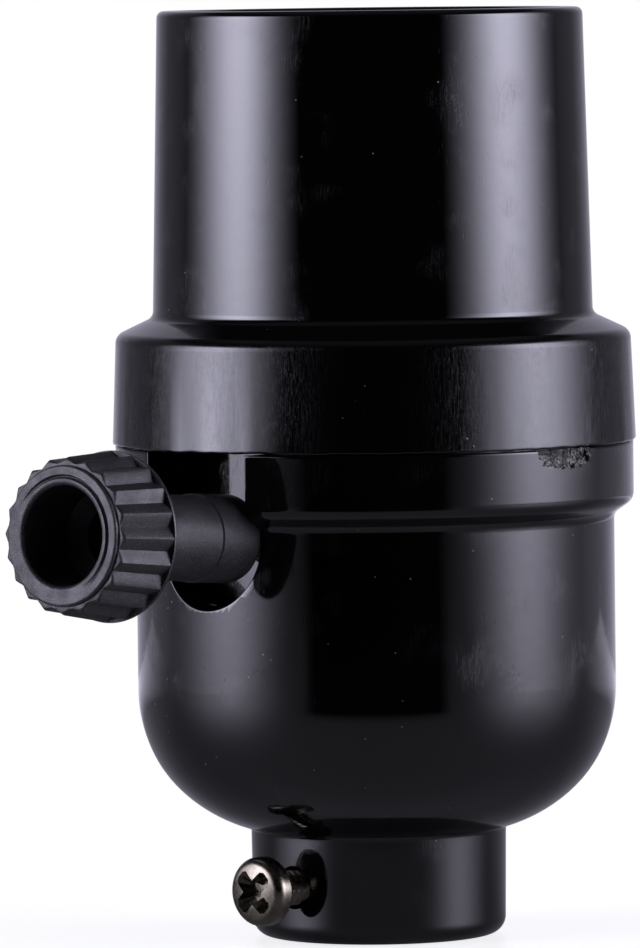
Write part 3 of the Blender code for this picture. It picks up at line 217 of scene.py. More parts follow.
class SocketStudio(bpy.types.PropertyGroup):
    """Camera, lights and floor."""
    camera_distance: metres("Camera distance", "In front of the socket's axis", 0.750)
    camera_height: metres("Camera height", "Above the floor", 0.079)
    focal_length: FloatProperty(
        name="Focal length", description="In millimetres, on a 36 mm sensor", default=360.9, min=50.0)
    pitch: degrees("Pitch", "Camera's slope downwards", 3.243)
    yaw: degrees("Yaw", "Camera's turn to the left", 0.33)
    roll: degrees("Roll", "Camera's lean", -0.68)
    left_azimuth: degrees("Left light direction", "Middle of the left softbox, from the front", 74.5)
    left_spread: degrees("Left light spread", "Softness of the left softbox towards the front", 18.2)
    right_azimuth: degrees("Right light direction", "Middle of the right softbox, from the front", 76.5)
    right_spread: degrees("Right light spread", "Softness of the right softbox towards the front", 19.4)
    rear_spread: degrees("Rear spread", "Softness of both softboxes towards the rear", 21.2)
    light_strength: FloatProperty(
        name="Light strength", description="Brightness of both softboxes", default=12.5, min=0.0)
    light_foot: FloatProperty(
        name="Light foot", description="Share of its brightness below which a softbox has ended",
        default=0.02, min=0.0, max=0.5)
    light_low: degrees("Lower end", "Where both softboxes begin, against the horizon", -8.0)
    light_full: degrees("Full strength", "Where both softboxes reach their full strength", 2.0)
    light_high: degrees("Upper end", "Where both softboxes have ended", 32.0)
    backdrop_width: degrees("Backdrop", "Half width of the backdrop behind the socket", 40.0)
    backdrop_middle: degrees("Backdrop middle", "Half width of the backdrop's brightest part", 10.0)
    backdrop_strength: FloatProperty(
        name="Backdrop strength", description="Brightness of the backdrop on top of the room",
        default=0.34, min=0.0)
    backdrop_high: degrees(
        "Backdrop height", "Upper end of the backdrop and the room behind, over the horizon", 42.0)
    room: FloatProperty(
        name="Room", description="Faint light from the rest of the room behind", default=0.2, min=0.0)
    ceiling: FloatProperty(
        name="Ceiling", description="Faint light from above", default=0.09, min=0.0)
    table: FloatProperty(
        name="Table", default=0.2, min=0.0,
        description="Faint light from the table past the floor, at both sides of the dark front")
    front_half_angle: degrees("Dark front", "Half width of the dark front, seen from the socket", 34.0)
    front_gap: metres("Dark front begins", "Where it is half dark, from the socket's axis", 0.088)
    front_fade: metres("Dark front fade", "Half the length of its fade", 0.028)
    floor_half_width: metres("Floor half width", "Floor to each side of the socket", 0.26)
    floor_front: metres("Floor in front", "Floor between the socket and its front edge", 0.30)
    floor_lift: FloatProperty(
        name="Floor whiteness", description="What the camera sees of the floor on top of its own light",
        default=0.76, min=0.0, max=1.0)


def make_material(name):
    """A new material and its empty node tree."""
    material = bpy.data.materials.new(name)
    material.use_nodes = True
    material.node_tree.nodes.clear()
    return material, material.node_tree


def add(tree, kind, *given, output=0, **settings):
    """Add a node with its settings and return the output asked for. What is given goes to its inputs in
    their order, and a dictionary to the inputs that it names. Another node's output becomes a link."""
    node = tree.nodes.new(kind)
    for name, value in settings.items():
        setattr(node, name, value)
    inputs = {}
    for place, value in enumerate(given):
        inputs.update(value if isinstance(value, dict) else {place: value})
    for key, value in inputs.items():
        if isinstance(value, bpy.types.NodeSocket):
            tree.links.new(value, node.inputs[key])
        else:
            node.inputs[key].default_value = value
    return node.outputs[output] if node.outputs else node


def across(millimetres):
    """Texture scale at which one feature is that many millimetres across."""
    return 1000.0 / millimetres


def object_place(tree, scale=(1, 1, 1), rotation=(0, 0, 0)):
    """Object coordinates, turned and scaled."""
    coordinates = add(tree, "ShaderNodeTexCoord", output="Object")
    return add(tree, "ShaderNodeMapping", {"Vector": coordinates, "Scale": scale, "Rotation": rotation})


def streaked_place(tree, turn, length, width):
    """Object coordinates that draw a texture as streaks, with their direction and size in mm."""
    return object_place(tree, (across(width), across(width), across(length)), turn)


def toned(base_colour, factor):
    """A paler or darker shade of a colour."""
    return (*(min(1.0, value * factor) for value in base_colour[:3]), 1.0)


def surfaced(material, shader):
    """The material with this shader as its surface."""
    add(material.node_tree, "ShaderNodeOutputMaterial", {"Surface": shader})
    return material


def phenolic_material(name, colours, gloss, rubbed):
    """Phenolic, compression moulded and polished: a black mirror with hairlines, small nicks and dust.
    Handling leaves it a little less glossy, with hairlines all over."""
    material, tree = make_material(name)
    place = object_place(tree)
    # Hairlines along the middle of streaks 2.5 to 5 mm long, drawn coarser than the real ones, which
    # are a few thousandths of a millimetre wide.
    marks = []
    for turn, length, width, fineness in (
            ((0.5, 0.65, 0.2), 5.0, 0.14, 0.005), ((-0.4, -0.8, 0.9), 3.5, 0.1, 0.006),
            ((0.1, 1.1, -0.7), 2.5, 0.12, 0.006)):
        grain = add(tree, NOISE, {
            "Vector": streaked_place(tree, turn, length, width), "Scale": 1.0, "Detail": 1.0})
        offset = add(tree, MATH, grain, 0.5, operation="SUBTRACT")
        ridge = add(tree, MATH, offset, operation="ABSOLUTE")
        marks.append(add(tree, RAMP, {"Value": ridge, "From Max": fineness, "To Min": 1.0, "To Max": 0.0}))
    patches = add(tree, NOISE, {"Vector": place, "Scale": across(4.0), "Detail": 2.0})
    handled = add(tree, RAMP, {"Value": patches, "From Min": 0.5, "From Max": 0.7, "To Min": rubbed})
    two = add(tree, MATH, marks[0], marks[1], operation="MAXIMUM")
    three = add(tree, MATH, two, marks[2], operation="MAXIMUM")
    scratches = add(tree, MATH, three, handled, operation="MULTIPLY")
    # Nicks, one in each cell of 2.2 to 2.6 by half a millimetre.
    nicks = []
    for turn, length, width in (((0.9, 0.2, 0.4), 2.6, 0.5), ((0.2, 1.4, -0.5), 2.2, 0.45)):
        cells = add(tree, CELLS, {"Vector": streaked_place(tree, turn, length, width), "Scale": 1.0})
        nicks.append(add(tree, RAMP, {
            "Value": cells, "From Min": 0.06, "From Max": 0.13, "To Min": 1.0, "To Max": 0.0}))
    deepest = add(tree, MATH, nicks[0], nicks[1], operation="MAXIMUM")
    nicked = add(tree, MATH, deepest, 0.35, operation="MULTIPLY")
    # Dust, at most one speck in each 0.9 mm, in patches of 2.2 mm. Specks are drawn coarser than real.
    cells = add(tree, CELLS, {"Vector": place, "Scale": across(0.9)})
    speck = add(tree, RAMP, {
        "Value": cells, "From Min": 0.05, "From Max": 0.09, "To Min": 1.0, "To Max": 0.0})
    spread = add(tree, NOISE, {"Vector": place, "Scale": across(2.2), "Detail": 1.0})
    sparse = add(tree, RAMP, {"Value": spread, "From Min": 0.61, "From Max": 0.7})
    dust = add(tree, MATH, speck, sparse, operation="MULTIPLY")
    tinted = add(tree, MIX, {0: dust, 6: colours.phenolic, 7: colours.phenolic_dust}, **MIXED_COLOUR)
    rough_scratch = add(tree, MATH, scratches, 0.05, 0.06, operation="MULTIPLY_ADD")
    roughness = add(tree, MATH, dust, 0.5, rough_scratch, operation="MULTIPLY_ADD")
    # The moulding's faint waves, 1.7 mm across, under the marks.
    peel = add(tree, NOISE, {"Vector": place, "Scale": across(1.7), "Detail": 2.0})
    waves = add(tree, BUMP, {"Height": peel, "Strength": 0.5, "Distance": 0.000005})
    dents = add(tree, MATH, scratches, 0.4, nicked, operation="MULTIPLY_ADD")
    relief = add(tree, MATH, dents, -1.0, dust, operation="MULTIPLY_ADD")
    normal = add(tree, BUMP, {"Height": relief, "Strength": 0.5, "Distance": 0.00001, "Normal": waves})
    return surfaced(material, add(tree, PRINCIPLED, {
        "Base Color": tinted, "Roughness": roughness, "Normal": normal, "IOR": 1.52,
        "Specular IOR Level": gloss}))


def fracture_material(name, colours):
    """Broken phenolic: dull, with pale grains of its wood flour filler in a dark binder. The grains are
    0.2 to 0.3 mm across, drawn coarser than real ones, in patches of 1.1 mm."""
    material, tree = make_material(name)
    place = object_place(tree)
    grains = add(tree, CELLS, {"Vector": place, "Scale": across(0.22)})
    speckle = add(tree, NOISE, {"Vector": place, "Scale": across(0.3), "Detail": 4.0})
    mixed = add(tree, MATH, grains, speckle, operation="MULTIPLY")
    pale = add(tree, RAMP, {"Value": mixed, "From Min": 0.17, "From Max": 0.32})
    patches = add(tree, NOISE, {"Vector": place, "Scale": across(1.1), "Detail": 2.0})
    filled = add(tree, RAMP, {"Value": patches, "From Min": 0.4, "From Max": 0.58, "To Min": 0.08})
    patched = add(tree, MATH, pale, filled, operation="MULTIPLY")
    tinted = add(tree, MIX, {0: patched, 6: colours.phenolic, 7: colours.fracture}, **MIXED_COLOUR)
    normal = add(tree, BUMP, {"Height": mixed, "Strength": 0.9, "Distance": 0.0001})
    return surfaced(material, add(tree, PRINCIPLED, {
        "Base Color": tinted, "Roughness": 0.55, "Normal": normal, "IOR": 1.52}))


def satin_plastic_material(name, colours, shade, roughness, grain, depth):
    """Moulded plastic with a fine sparked grain and dull highlights, with pale specks painted into its
    colour as glints off the grain. The grain's width is in mm, and coarser than the real one so that it
    shows."""
    material, tree = make_material(name)
    place = object_place(tree)
    base_colour = getattr(colours, shade)
    fine = add(tree, NOISE, {"Vector": place, "Scale": across(grain), "Detail": 3.0})
    broad = add(tree, NOISE, {"Vector": place, "Scale": across(grain * 12), "Detail": 2.0})
    worn = add(tree, RAMP, {"Value": broad, "From Min": 0.35, "From Max": 0.7,
                            "To Min": roughness - 0.07, "To Max": roughness + 0.08})
    normal = add(tree, BUMP, {"Height": fine, "Strength": 0.8, "Distance": depth})
    # Pale specks painted into the colour: painted glints off the grain, which the plastic's own colour
    # doesn't have.
    painted_glint_specks = add(tree, RAMP, {"Value": fine, "From Min": 0.5, "From Max": 0.66})
    tinted = add(tree, MIX, {0: painted_glint_specks, 6: base_colour, 7: toned(base_colour, 3.5)}, **MIXED_COLOUR)
    return surfaced(material, add(tree, PRINCIPLED, {
        "Base Color": tinted, "Roughness": worn, "Normal": normal, "IOR": 1.5}))


def metal_material(name, colours, shade, roughness, stain, grain):
    """Plated or rolled metal: a soft mirror, dulled in patches of 1.6 mm where it was handled. The
    grain's width is in mm, and coarser than the real one so that it shows."""
    material, tree = make_material(name)
    place = object_place(tree)
    base_colour = getattr(colours, shade)
    patches = add(tree, NOISE, {"Vector": place, "Scale": across(1.6), "Detail": 4.0})
    dulled = add(tree, RAMP, {"Value": patches, "From Min": 0.4, "From Max": 0.75})
    stained = toned(base_colour, 1.0 - stain)
    tinted = add(tree, MIX, {0: dulled, 6: base_colour, 7: stained}, **MIXED_COLOUR)
    fine = add(tree, NOISE, {"Vector": place, "Scale": across(grain), "Detail": 3.0})
    worn = add(tree, RAMP, {"Value": fine, "From Min": 0.3, "From Max": 0.7,
                            "To Min": roughness - 0.06, "To Max": roughness + 0.1})
    normal = add(tree, BUMP, {"Height": fine, "Strength": 0.3, "Distance": 0.000012})
    return surfaced(material, add(tree, PRINCIPLED, {
        "Base Color": tinted, "Metallic": 1.0, "Roughness": worn, "Normal": normal}))


def fibre_material(name, colours):
    """Vulcanised fibre, punched from sheet: dull red with a papery grain, 0.25 by 1.2 mm."""
    material, tree = make_material(name)
    place = object_place(tree, (across(0.25), across(1.2), across(0.25)))
    grain = add(tree, NOISE, {"Vector": place, "Scale": 1.0, "Detail": 4.0})
    tinted = add(tree, MIX, {0: grain, 6: colours.fibre, 7: toned(colours.fibre, 0.6)}, **MIXED_COLOUR)
    normal = add(tree, BUMP, {"Height": grain, "Strength": 0.5, "Distance": 0.00003})
    return surfaced(material, add(tree, PRINCIPLED, {
        "Base Color": tinted, "Roughness": 0.72, "Normal": normal, "IOR": 1.5}))


FINISHES = {
    # gloss, share of the hairlines outside handled patches
    "polished_phenolic": (phenolic_material, 0.5, 0.0),  # black mirror, marked only in patches
    "handled_phenolic": (phenolic_material, 0.41, 0.75),  # a little duller, hairlines all over
    "broken_phenolic": (fracture_material,),  # dull, dark and grainy
    "vulcanised_fibre": (fibre_material,),  # dull red, like pressed paper
    # colour, roughness, width of the grain in mm, its depth in metres
    # Both satin plastics carry pale specks painted into their colour as glints off the grain.
    "satin_knob_plastic": (satin_plastic_material, "knob", 0.48, 0.16, 0.00003),  # speckled highlights
    "brown_phenolic": (satin_plastic_material, "rotor", 0.5, 0.3, 0.00002),  # dull brown
    # colour, roughness, how much darker the stains are, width of the grain in mm
    "handled_nickel": (metal_material, "nickel", 0.24, 0.5, 0.35),  # dark warm mirror with stains
    "satin_nickel_plate": (metal_material, "zinc", 0.28, 0.2, 0.35),  # pale and even
    "zinc_plate": (metal_material, "zinc", 0.32, 0.3, 0.35),  # cool grey, slightly cloudy
    "tumbled_zinc_casting": (metal_material, "zinc", 0.42, 0.35, 0.5),  # greyer, rough and grainy
    "stamped_brass": (metal_material, "brass", 0.3, 0.35, 0.35),  # yellow, a little dulled
    "spring_bronze": (metal_material, "bronze", 0.3, 0.3, 0.35),  # reddish and smooth
    "rolled_aluminium": (metal_material, "aluminium", 0.3, 0.18, 0.35),  # bright, nearly white
}
MATERIALS = {}


def finish(name):
    """The named finish, made on its first use."""
    if name not in MATERIALS:
        maker, *settings = FINISHES[name]
        MATERIALS[name] = maker(name, bpy.context.scene.socket_colours, *settings)
    return MATERIALS[name]


def rounded(corners, arc_step=math.radians(9), support=0.00012):
    """Fillet a polygon of (x, y, radius), with a supporting point just outside each round."""
    outline = []
    count = len(corners)
    for index, (x, y, radius) in enumerate(corners):
        corner = Vector((x, y))
        if radius <= 0:
            outline.append(corner)
            continue
        before = Vector(corners[index - 1][:2]) - corner
        after = Vector(corners[(index + 1) % count][:2]) - corner
        turn = math.pi - before.angle(after)
        reach = radius * math.tan(turn / 2)
        limit = 0.48 * min(before.length, after.length)
        if reach > limit:
            radius *= limit / reach
            reach = limit
        inward = (before.normalized() + after.normalized()).normalized()
        centre = corner + inward * math.hypot(radius, reach)
        first = corner + before.normalized() * reach - centre
        sense = 1.0 if before.x * after.y - before.y * after.x < 0 else -1.0
        steps = max(3, math.ceil(turn / arc_step))
        if before.length > (reach + support) * 2:
            outline.append(corner + before.normalized() * (reach + support))
        for step in range(steps + 1):
            outline.append(centre + Matrix.Rotation(sense * turn * step / steps, 2) @ first)
        if after.length > (reach + support) * 2:
            outline.append(corner + after.normalized() * (reach + support))
    return outline


def with_rows(outline, spacing, low, high):
    """Split the outline's edges between two heights, so that none there is longer than the spacing."""
    split = []
    for index, point in enumerate(outline):
        after = outline[(index + 1) % len(outline)]
        split.append(point)
        inside = min(point.y, after.y) >= low - TINY and max(point.y, after.y) <= high + TINY
        pieces = math.ceil((after - point).length / spacing) if inside else 1
        for step in range(1, pieces):
            split.append(point.lerp(after, step / pieces))
    return split


def arc(centre_x, centre_y, radius, start, end, steps):
    """Points on an arc between two angles in degrees, both ends included."""
    points = []
    for step in range(steps + 1):
        angle = math.radians(start + (end - start) * step / steps)
        points.append((centre_x + radius * math.cos(angle), centre_y + radius * math.sin(angle), 0))
    return points


def quarter(steps):
    """Quarter of a round of radius 1, as each point's distance from the two sides that it joins."""
    for step in range(steps + 1):
        angle = math.pi / 2 * step / steps
        yield 1.0 - math.sin(angle), 1.0 - math.cos(angle)


def bridge(data, low, high, closed=True):
    """Faces between two rows of vertices, of which one may be a single pole."""
    count = max(len(low), len(high))
    for step in range(count if closed else count - 1):
        after = (step + 1) % count
        corners = [low[step % len(low)], low[after % len(low)],
                   high[after % len(high)], high[step % len(high)]]
        data.faces.new(list(dict.fromkeys(corners)))


def polar(radius, angle, height):
    """Point at a distance from the axis, at an angle round it and a height."""
    return radius * math.cos(angle), radius * math.sin(angle), height


def lathe(outline, segments):
    """Spin a closed outline of (radius, height) round Z, with a pole where it meets the axis."""
    data = bmesh.new()
    rings = []
    for radius, height in outline:
        if radius < TINY:
            rings.append([data.verts.new((0, 0, height))])
            continue
        rings.append([data.verts.new(polar(radius, math.tau * step / segments, height))
                      for step in range(segments)])
    for low, high in zip(rings, rings[1:] + rings[:1]):
        if len(low) > 1 or len(high) > 1:
            bridge(data, low, high)
    bmesh.ops.recalc_face_normals(data, faces=data.faces)
    return data


def rod(radius, low, high, segments):
    """Closed rod on the axis, between two heights."""
    corners = ((0, high), (radius, high), (radius, low), (0, low))
    return lathe([Vector(corner) for corner in corners], segments)


def capped(rings):
    """Closed body through rings of points, with a flat face at both ends."""
    data = bmesh.new()
    rows = [[data.verts.new(point) for point in ring] for ring in rings]
    for low, high in zip(rows, rows[1:]):
        bridge(data, low, high)
    data.faces.new(rows[0])
    data.faces.new(rows[-1])
    bmesh.ops.recalc_face_normals(data, faces=data.faces)
    return data


def as_mesh(name, data, *finishes):
    """Turn editable data into a plain mesh with these finishes."""
    mesh = bpy.data.meshes.new(name)
    data.to_mesh(mesh)
    data.free()
    for each in finishes:
        mesh.materials.append(finish(each))
    return mesh


def stand_in(name, mesh):
    """A temporary object that carries a mesh through a modifier."""
    obj = bpy.data.objects.new(name, mesh)
    bpy.context.scene.collection.objects.link(obj)
    return obj


def baked(obj):
    """The plain mesh that an object's modifiers make of it. The object is removed."""
    depsgraph = bpy.context.evaluated_depsgraph_get()
    mesh = bpy.data.meshes.new_from_object(obj.evaluated_get(depsgraph), depsgraph=depsgraph)
    obj.modifiers.clear()
    bpy.data.objects.remove(obj)
    return mesh


def carved(mesh, cutters):
    """Subtract closed meshes, whose finishes come along on the faces that they leave."""
    body = stand_in("body_to_carve", mesh)
    tools = [stand_in("carving_tool", cutter) for cutter in cutters]
    for tool in tools:
        modifier = body.modifiers.new("carve", "BOOLEAN")
        modifier.operation = "DIFFERENCE"
        modifier.solver = "EXACT"
        modifier.material_mode = "TRANSFER"
        modifier.object = tool
    result = baked(body)
    for tool in tools:
        bpy.data.objects.remove(tool)
    return result


def through_nodes(mesh, tree, values):
    """Run a mesh through a node tree, with its inputs given by name."""
    obj = stand_in("node_carrier", mesh)
    modifier = obj.modifiers.new(tree.name, "NODES")
    modifier.node_group = tree
    for item in tree.interface.items_tree:
        if item.item_type == "SOCKET" and item.in_out == "INPUT" and item.name in values:
            modifier[item.identifier] = values[item.name]
    return baked(obj)


def place_piece(name, mesh, body, slot, *nodes, sharp=32):
    """Show a finished mesh in place of its CAD nodes, moving with their body."""
    mesh.name = name
    mesh.shade_smooth()
    mesh.set_sharp_from_angle(angle=math.radians(sharp))
    obj = bpy.data.objects.new(name, mesh)
    bpy.context.scene.collection.objects.link(obj)
    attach(obj, body)
    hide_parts(*nodes)
    return obj


def node_tree(name, inputs):
    """A geometry node tree with these named inputs besides its geometry, and what they give."""
    tree = bpy.data.node_groups.new(name, "GeometryNodeTree")
    tree.interface.new_socket("Geometry", in_out="INPUT", socket_type="NodeSocketGeometry")
    for label, kind, default in inputs:
        socket = tree.interface.new_socket(label, in_out="INPUT", socket_type=kind)
        if default is not None:
            socket.default_value = default
    tree.interface.new_socket("Geometry", in_out="OUTPUT", socket_type="NodeSocketGeometry")
    return tree, {socket.name: socket for socket in add(tree, "NodeGroupInput", output=EVERY)}


def ring_of_sectors_tree():
    """Node tree that repeats one sector all the way round Z and closes the joints."""
    tree, given = node_tree("ring_of_sectors", [
        ("Count", "NodeSocketInt", 20),
        ("Weld", "NodeSocketFloat", 0.000002),
        ("Material", "NodeSocketMaterial", None),
    ])
    points = add(tree, "GeometryNodePoints", {"Count": given["Count"]})
    index = add(tree, "GeometryNodeInputIndex")
    step = add(tree, MATH, math.tau, given["Count"], operation="DIVIDE")
    turn = add(tree, MATH, index, step, operation="MULTIPLY")
    euler = add(tree, "ShaderNodeCombineXYZ", {"Z": turn})
    rotation = add(tree, "FunctionNodeEulerToRotation", euler)
    instances = add(tree, "GeometryNodeInstanceOnPoints", {
        "Points": points, "Instance": given["Geometry"], "Rotation": rotation})
    real = add(tree, "GeometryNodeRealizeInstances", {"Geometry": instances})
    welded = add(tree, "GeometryNodeMergeByDistance", {"Geometry": real, "Distance": given["Weld"]})
    done = add(tree, "GeometryNodeSetMaterial", {"Geometry": welded, "Material": given["Material"]})
    add(tree, "NodeGroupOutput", {"Geometry": done})
    return tree


def thread_tree():
    """Node tree that raises a helical thread on a plain turned surface, between two heights."""
    tree, given = node_tree("helical_thread", [
        ("Pitch", "NodeSocketFloat", 0.001),
        ("Depth", "NodeSocketFloat", 0.0005),
        ("Low", "NodeSocketFloat", 0.0),
        ("High", "NodeSocketFloat", 0.01),
        ("Runout", "NodeSocketFloat", 0.001),
        ("Reach", "NodeSocketFloat", 1.0),
        ("Sharpness", "NodeSocketFloat", 0.0),
        ("Material", "NodeSocketMaterial", None),
    ])
    position = add(tree, "GeometryNodeInputPosition")
    x, y, z = add(tree, "ShaderNodeSeparateXYZ", position, output=EVERY)
    angle = add(tree, MATH, y, x, operation="ARCTAN2")
    above = add(tree, MATH, z, given["Low"], operation="SUBTRACT")
    below = add(tree, MATH, given["High"], z, operation="SUBTRACT")
    turns = add(tree, MATH, above, given["Pitch"], operation="DIVIDE")
    around = add(tree, MATH, turns, math.tau, operation="MULTIPLY")
    phase = add(tree, MATH, around, angle, operation="SUBTRACT")
    wave = add(tree, MATH, phase, operation="SINE")
    slope = add(tree, MATH, wave, operation="ARCSINE")
    ridge = add(tree, MATH, slope, 2.0 / math.pi, operation="MULTIPLY")
    shape = add(tree, MIX, {0: given["Sharpness"], 2: wave, 3: ridge}, data_type="FLOAT")
    nearest = add(tree, MATH, above, below, operation="MINIMUM")
    grown = add(tree, MATH, nearest, given["Runout"], operation="DIVIDE", use_clamp=True)
    half = add(tree, MATH, given["Depth"], 0.5, operation="MULTIPLY")
    height = add(tree, MATH, half, grown, operation="MULTIPLY")
    rise = add(tree, MATH, height, shape, operation="MULTIPLY")
    flat = add(tree, "ShaderNodeCombineXYZ", x, y)
    radius = add(tree, "ShaderNodeVectorMath", flat, operation="LENGTH", output="Value")
    outward = add(tree, "ShaderNodeVectorMath", flat, operation="NORMALIZE")
    within = add(tree, MATH, radius, given["Reach"], operation="LESS_THAN")
    push = add(tree, MATH, rise, within, operation="MULTIPLY")
    offset = add(tree, "ShaderNodeVectorMath", outward, {"Scale": push}, operation="SCALE")
    moved = add(tree, "GeometryNodeSetPosition", {"Geometry": given["Geometry"], "Offset": offset})
    real = add(tree, "GeometryNodeRealizeInstances", {"Geometry": moved})
    done = add(tree, "GeometryNodeSetMaterial", {"Geometry": real, "Material": given["Material"]})
    add(tree, "NodeGroupOutput", {"Geometry": done})
    return tree


def heading(azimuth):
    """World angle of a direction given from the front (-Y) towards the left (-X)."""
    return -math.pi / 2 - azimuth


def outwards(azimuth, height):
    """Placement that turns what stands on Z to point outwards from the axis at a height."""
    turn = Matrix.Rotation(heading(azimuth), 4, "Z") @ Matrix.Rotation(math.pi / 2, 4, "Y")
    return Matrix.Translation((0, 0, height)) @ turn


def face_out(data, azimuth):
    """Turn what is modelled on +X to face a direction."""
    bmesh.ops.rotate(data, verts=data.verts, matrix=Matrix.Rotation(heading(azimuth), 3, "Z"))


def set_over(data, node):
    """Move what stands on the axis to the middle of a CAD node, seen from above."""
    low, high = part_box(node)
    middle = (low + high) / 2
    bmesh.ops.translate(data, vec=(middle.x, middle.y, 0), verts=data.verts)


def angular_noise(angle, detail, seed):
    """Smooth noise round the axis. More detail makes its waves shorter."""
    return noise.noise(Vector((math.cos(angle) * detail, math.sin(angle) * detail, seed)))


def upper_shell_mesh(sizes):
    """Ring, shoulder and barrel in one turned outline, with a ragged lower edge."""
    top = SHELL_HIGH.z
    base = SHELL_LOW.z
    ring_top = base + sizes.ring_height
    ledge = base + sizes.ring_bore_depth
    ring_bore = sizes.ring_base_radius - sizes.ring_wall
    outline = rounded([
        (sizes.barrel_top_radius, top, sizes.lip_radius),
        (sizes.barrel_base_radius, ring_top + sizes.shoulder_rise, sizes.shoulder_fillet),
        (sizes.ring_top_radius, ring_top, sizes.ring_corner),
        (sizes.ring_base_radius, base, sizes.seam_edge),
        (ring_bore, base, INNER_EDGE), (ring_bore, ledge, 0),
        (sizes.barrel_base_radius - sizes.barrel_wall_base, ledge, 0),
        (sizes.barrel_top_radius - sizes.barrel_wall_top, top, sizes.lip_radius),
    ])
    data = lathe(outline, MOULDING_SEGMENTS)
    # The flash: how far in, how high and how wide it spreads.
    edge = sizes.ring_base_radius - 0.0004
    ragged_height = 0.0006
    widest_flash = 0.00012
    for vert in data.verts:
        radius = math.hypot(vert.co.x, vert.co.y)
        rise = vert.co.z - base
        if radius < edge or rise > ragged_height:
            continue
        angle = math.atan2(vert.co.y, vert.co.x)
        ragged = angular_noise(angle, 22, 3.7) + 0.6 * angular_noise(angle, 60, 9.1)
        fade = 1.0 - rise / ragged_height
        vert.co.z += ragged * sizes.flash_height * fade
        spread = 1.0 + max(0.0, angular_noise(angle, 14, 5.2)) * widest_flash * fade / radius
        vert.co.x *= spread
        vert.co.y *= spread
    mesh = as_mesh("upper_shell_moulding", data, "polished_phenolic", "handled_phenolic")
    outer_wall = edge - 0.0006
    for face in mesh.polygons:
        outside = math.hypot(face.center.x, face.center.y) > outer_wall
        face.material_index = int(outside and face.center.z < ring_top)
    return mesh


def cap_outline(sizes):
    """Half section of the lower cap: down the outside, up the inside."""
    seam = SHELL_LOW.z - sizes.seam_gap
    band_base = seam - sizes.band_height
    centre_radius = sizes.bowl_radius - sizes.bowl_corner
    rise = math.sqrt(sizes.bowl_corner ** 2 - (sizes.neck_radius - centre_radius) ** 2)
    centre_z = sizes.neck_length + rise
    inner_corner = sizes.bowl_corner - sizes.bowl_wall
    junction = math.degrees(math.acos((sizes.neck_radius - centre_radius) / sizes.bowl_corner))
    bore = sizes.neck_radius - sizes.neck_wall
    cavity = sizes.bowl_radius - sizes.bowl_wall
    # The bowl is round down to 0.45 of its radius below its centre and flattens from there.
    round_part, flattening = 0.45, 0.5
    bowl = []
    for x, height, _ in arc(centre_radius, centre_z, sizes.bowl_corner, 0, -junction, 26):
        under = min(1.0, max(0.0, (centre_z - height) / sizes.bowl_corner - round_part) / flattening)
        bowl.append((x, height + sizes.bowl_lift * under * under * (3.0 - 2.0 * under), 0))
    bowl[-1] = (sizes.neck_radius, sizes.neck_length + sizes.bowl_lift, sizes.neck_fillet)
    inner = arc(centre_radius, centre_z, inner_corner, -90, 0, 20)
    return rounded([
        (sizes.spigot_radius, CAP_HIGH.z, INNER_EDGE), (sizes.spigot_radius, seam, 0),
        (sizes.band_radius, seam, sizes.seam_edge),
        (sizes.band_radius, band_base + sizes.step_lean / 2, sizes.band_corner),
        (sizes.bowl_radius, band_base - sizes.step_lean / 2, sizes.step_fillet),
        *bowl,
        (sizes.neck_radius - sizes.neck_draft, CAP_LOW.z, sizes.neck_corner),
        (bore, CAP_LOW.z, INNER_EDGE), (bore, centre_z - inner_corner, 0),
        *(point for point in inner if point[0] > bore),
        (cavity, CAP_HIGH.z, INNER_EDGE),
    ])


def outside_radius(sizes, outline, height):
    """Radius of the cap's outside at a height below the seam, and the band's radius above it."""
    if height > SHELL_LOW.z - sizes.seam_gap - 2 * sizes.seam_edge:
        return sizes.band_radius
    reach = 0.0
    for first, second in zip(outline, outline[1:] + outline[:1]):
        if min(first.y, second.y) <= height <= max(first.y, second.y) and abs(second.y - first.y) > TINY:
            reach = max(reach, first.lerp(second, (height - first.y) / (second.y - first.y)).x)
    return reach


def keyhole_points(sizes, grow, steps=72, rows=44):
    """Round hole with a slot that runs up out of it, as (across, height), grown outwards. The round
    has so many steps and the slot so many rows."""
    half = sizes.slot_half_width
    hole = sizes.hole_radius
    meet = math.acos(half / hole)
    top = CAP_HIGH.z + 0.001
    points = []
    for step in range(steps + 1):
        angle = math.pi - meet + (math.pi + 2 * meet) * step / steps
        reach = hole + grow
        across_slot = reach * math.cos(angle)
        if step in (0, steps):
            across_slot = math.copysign(half + grow, across_slot)
        points.append((across_slot, sizes.hole_height + reach * math.sin(angle)))
    rise = sizes.hole_height + (hole + grow) * math.sin(meet)
    right = [(half + grow, rise + (top - rise) * row / rows) for row in range(1, rows + 1)]
    return points + right + [(-x, z) for x, z in reversed(right)]


def keyhole_tool(sizes, outline):
    """Closed tool for the keyhole slot, flared where it leaves the wall so that the edge is rounded."""
    edge = sizes.slot_edge
    clear = sizes.band_radius + 0.002
    rings = [[(clear, across_slot, height) for across_slot, height in keyhole_points(sizes, edge)]]
    for fall, back in quarter(5):
        ring = []
        for across_slot, height in keyhole_points(sizes, edge * fall):
            radius = outside_radius(sizes, outline, height)
            ring.append((math.sqrt(radius ** 2 - across_slot ** 2) - edge * back, across_slot, height))
        rings.append(ring)
    inside = sizes.bowl_radius / 2
    rings.append([(inside, across_slot, height) for across_slot, height in keyhole_points(sizes, 0)])
    data = capped(rings)
    face_out(data, sizes.slot_azimuth)
    return as_mesh("keyhole_tool", data, "polished_phenolic")


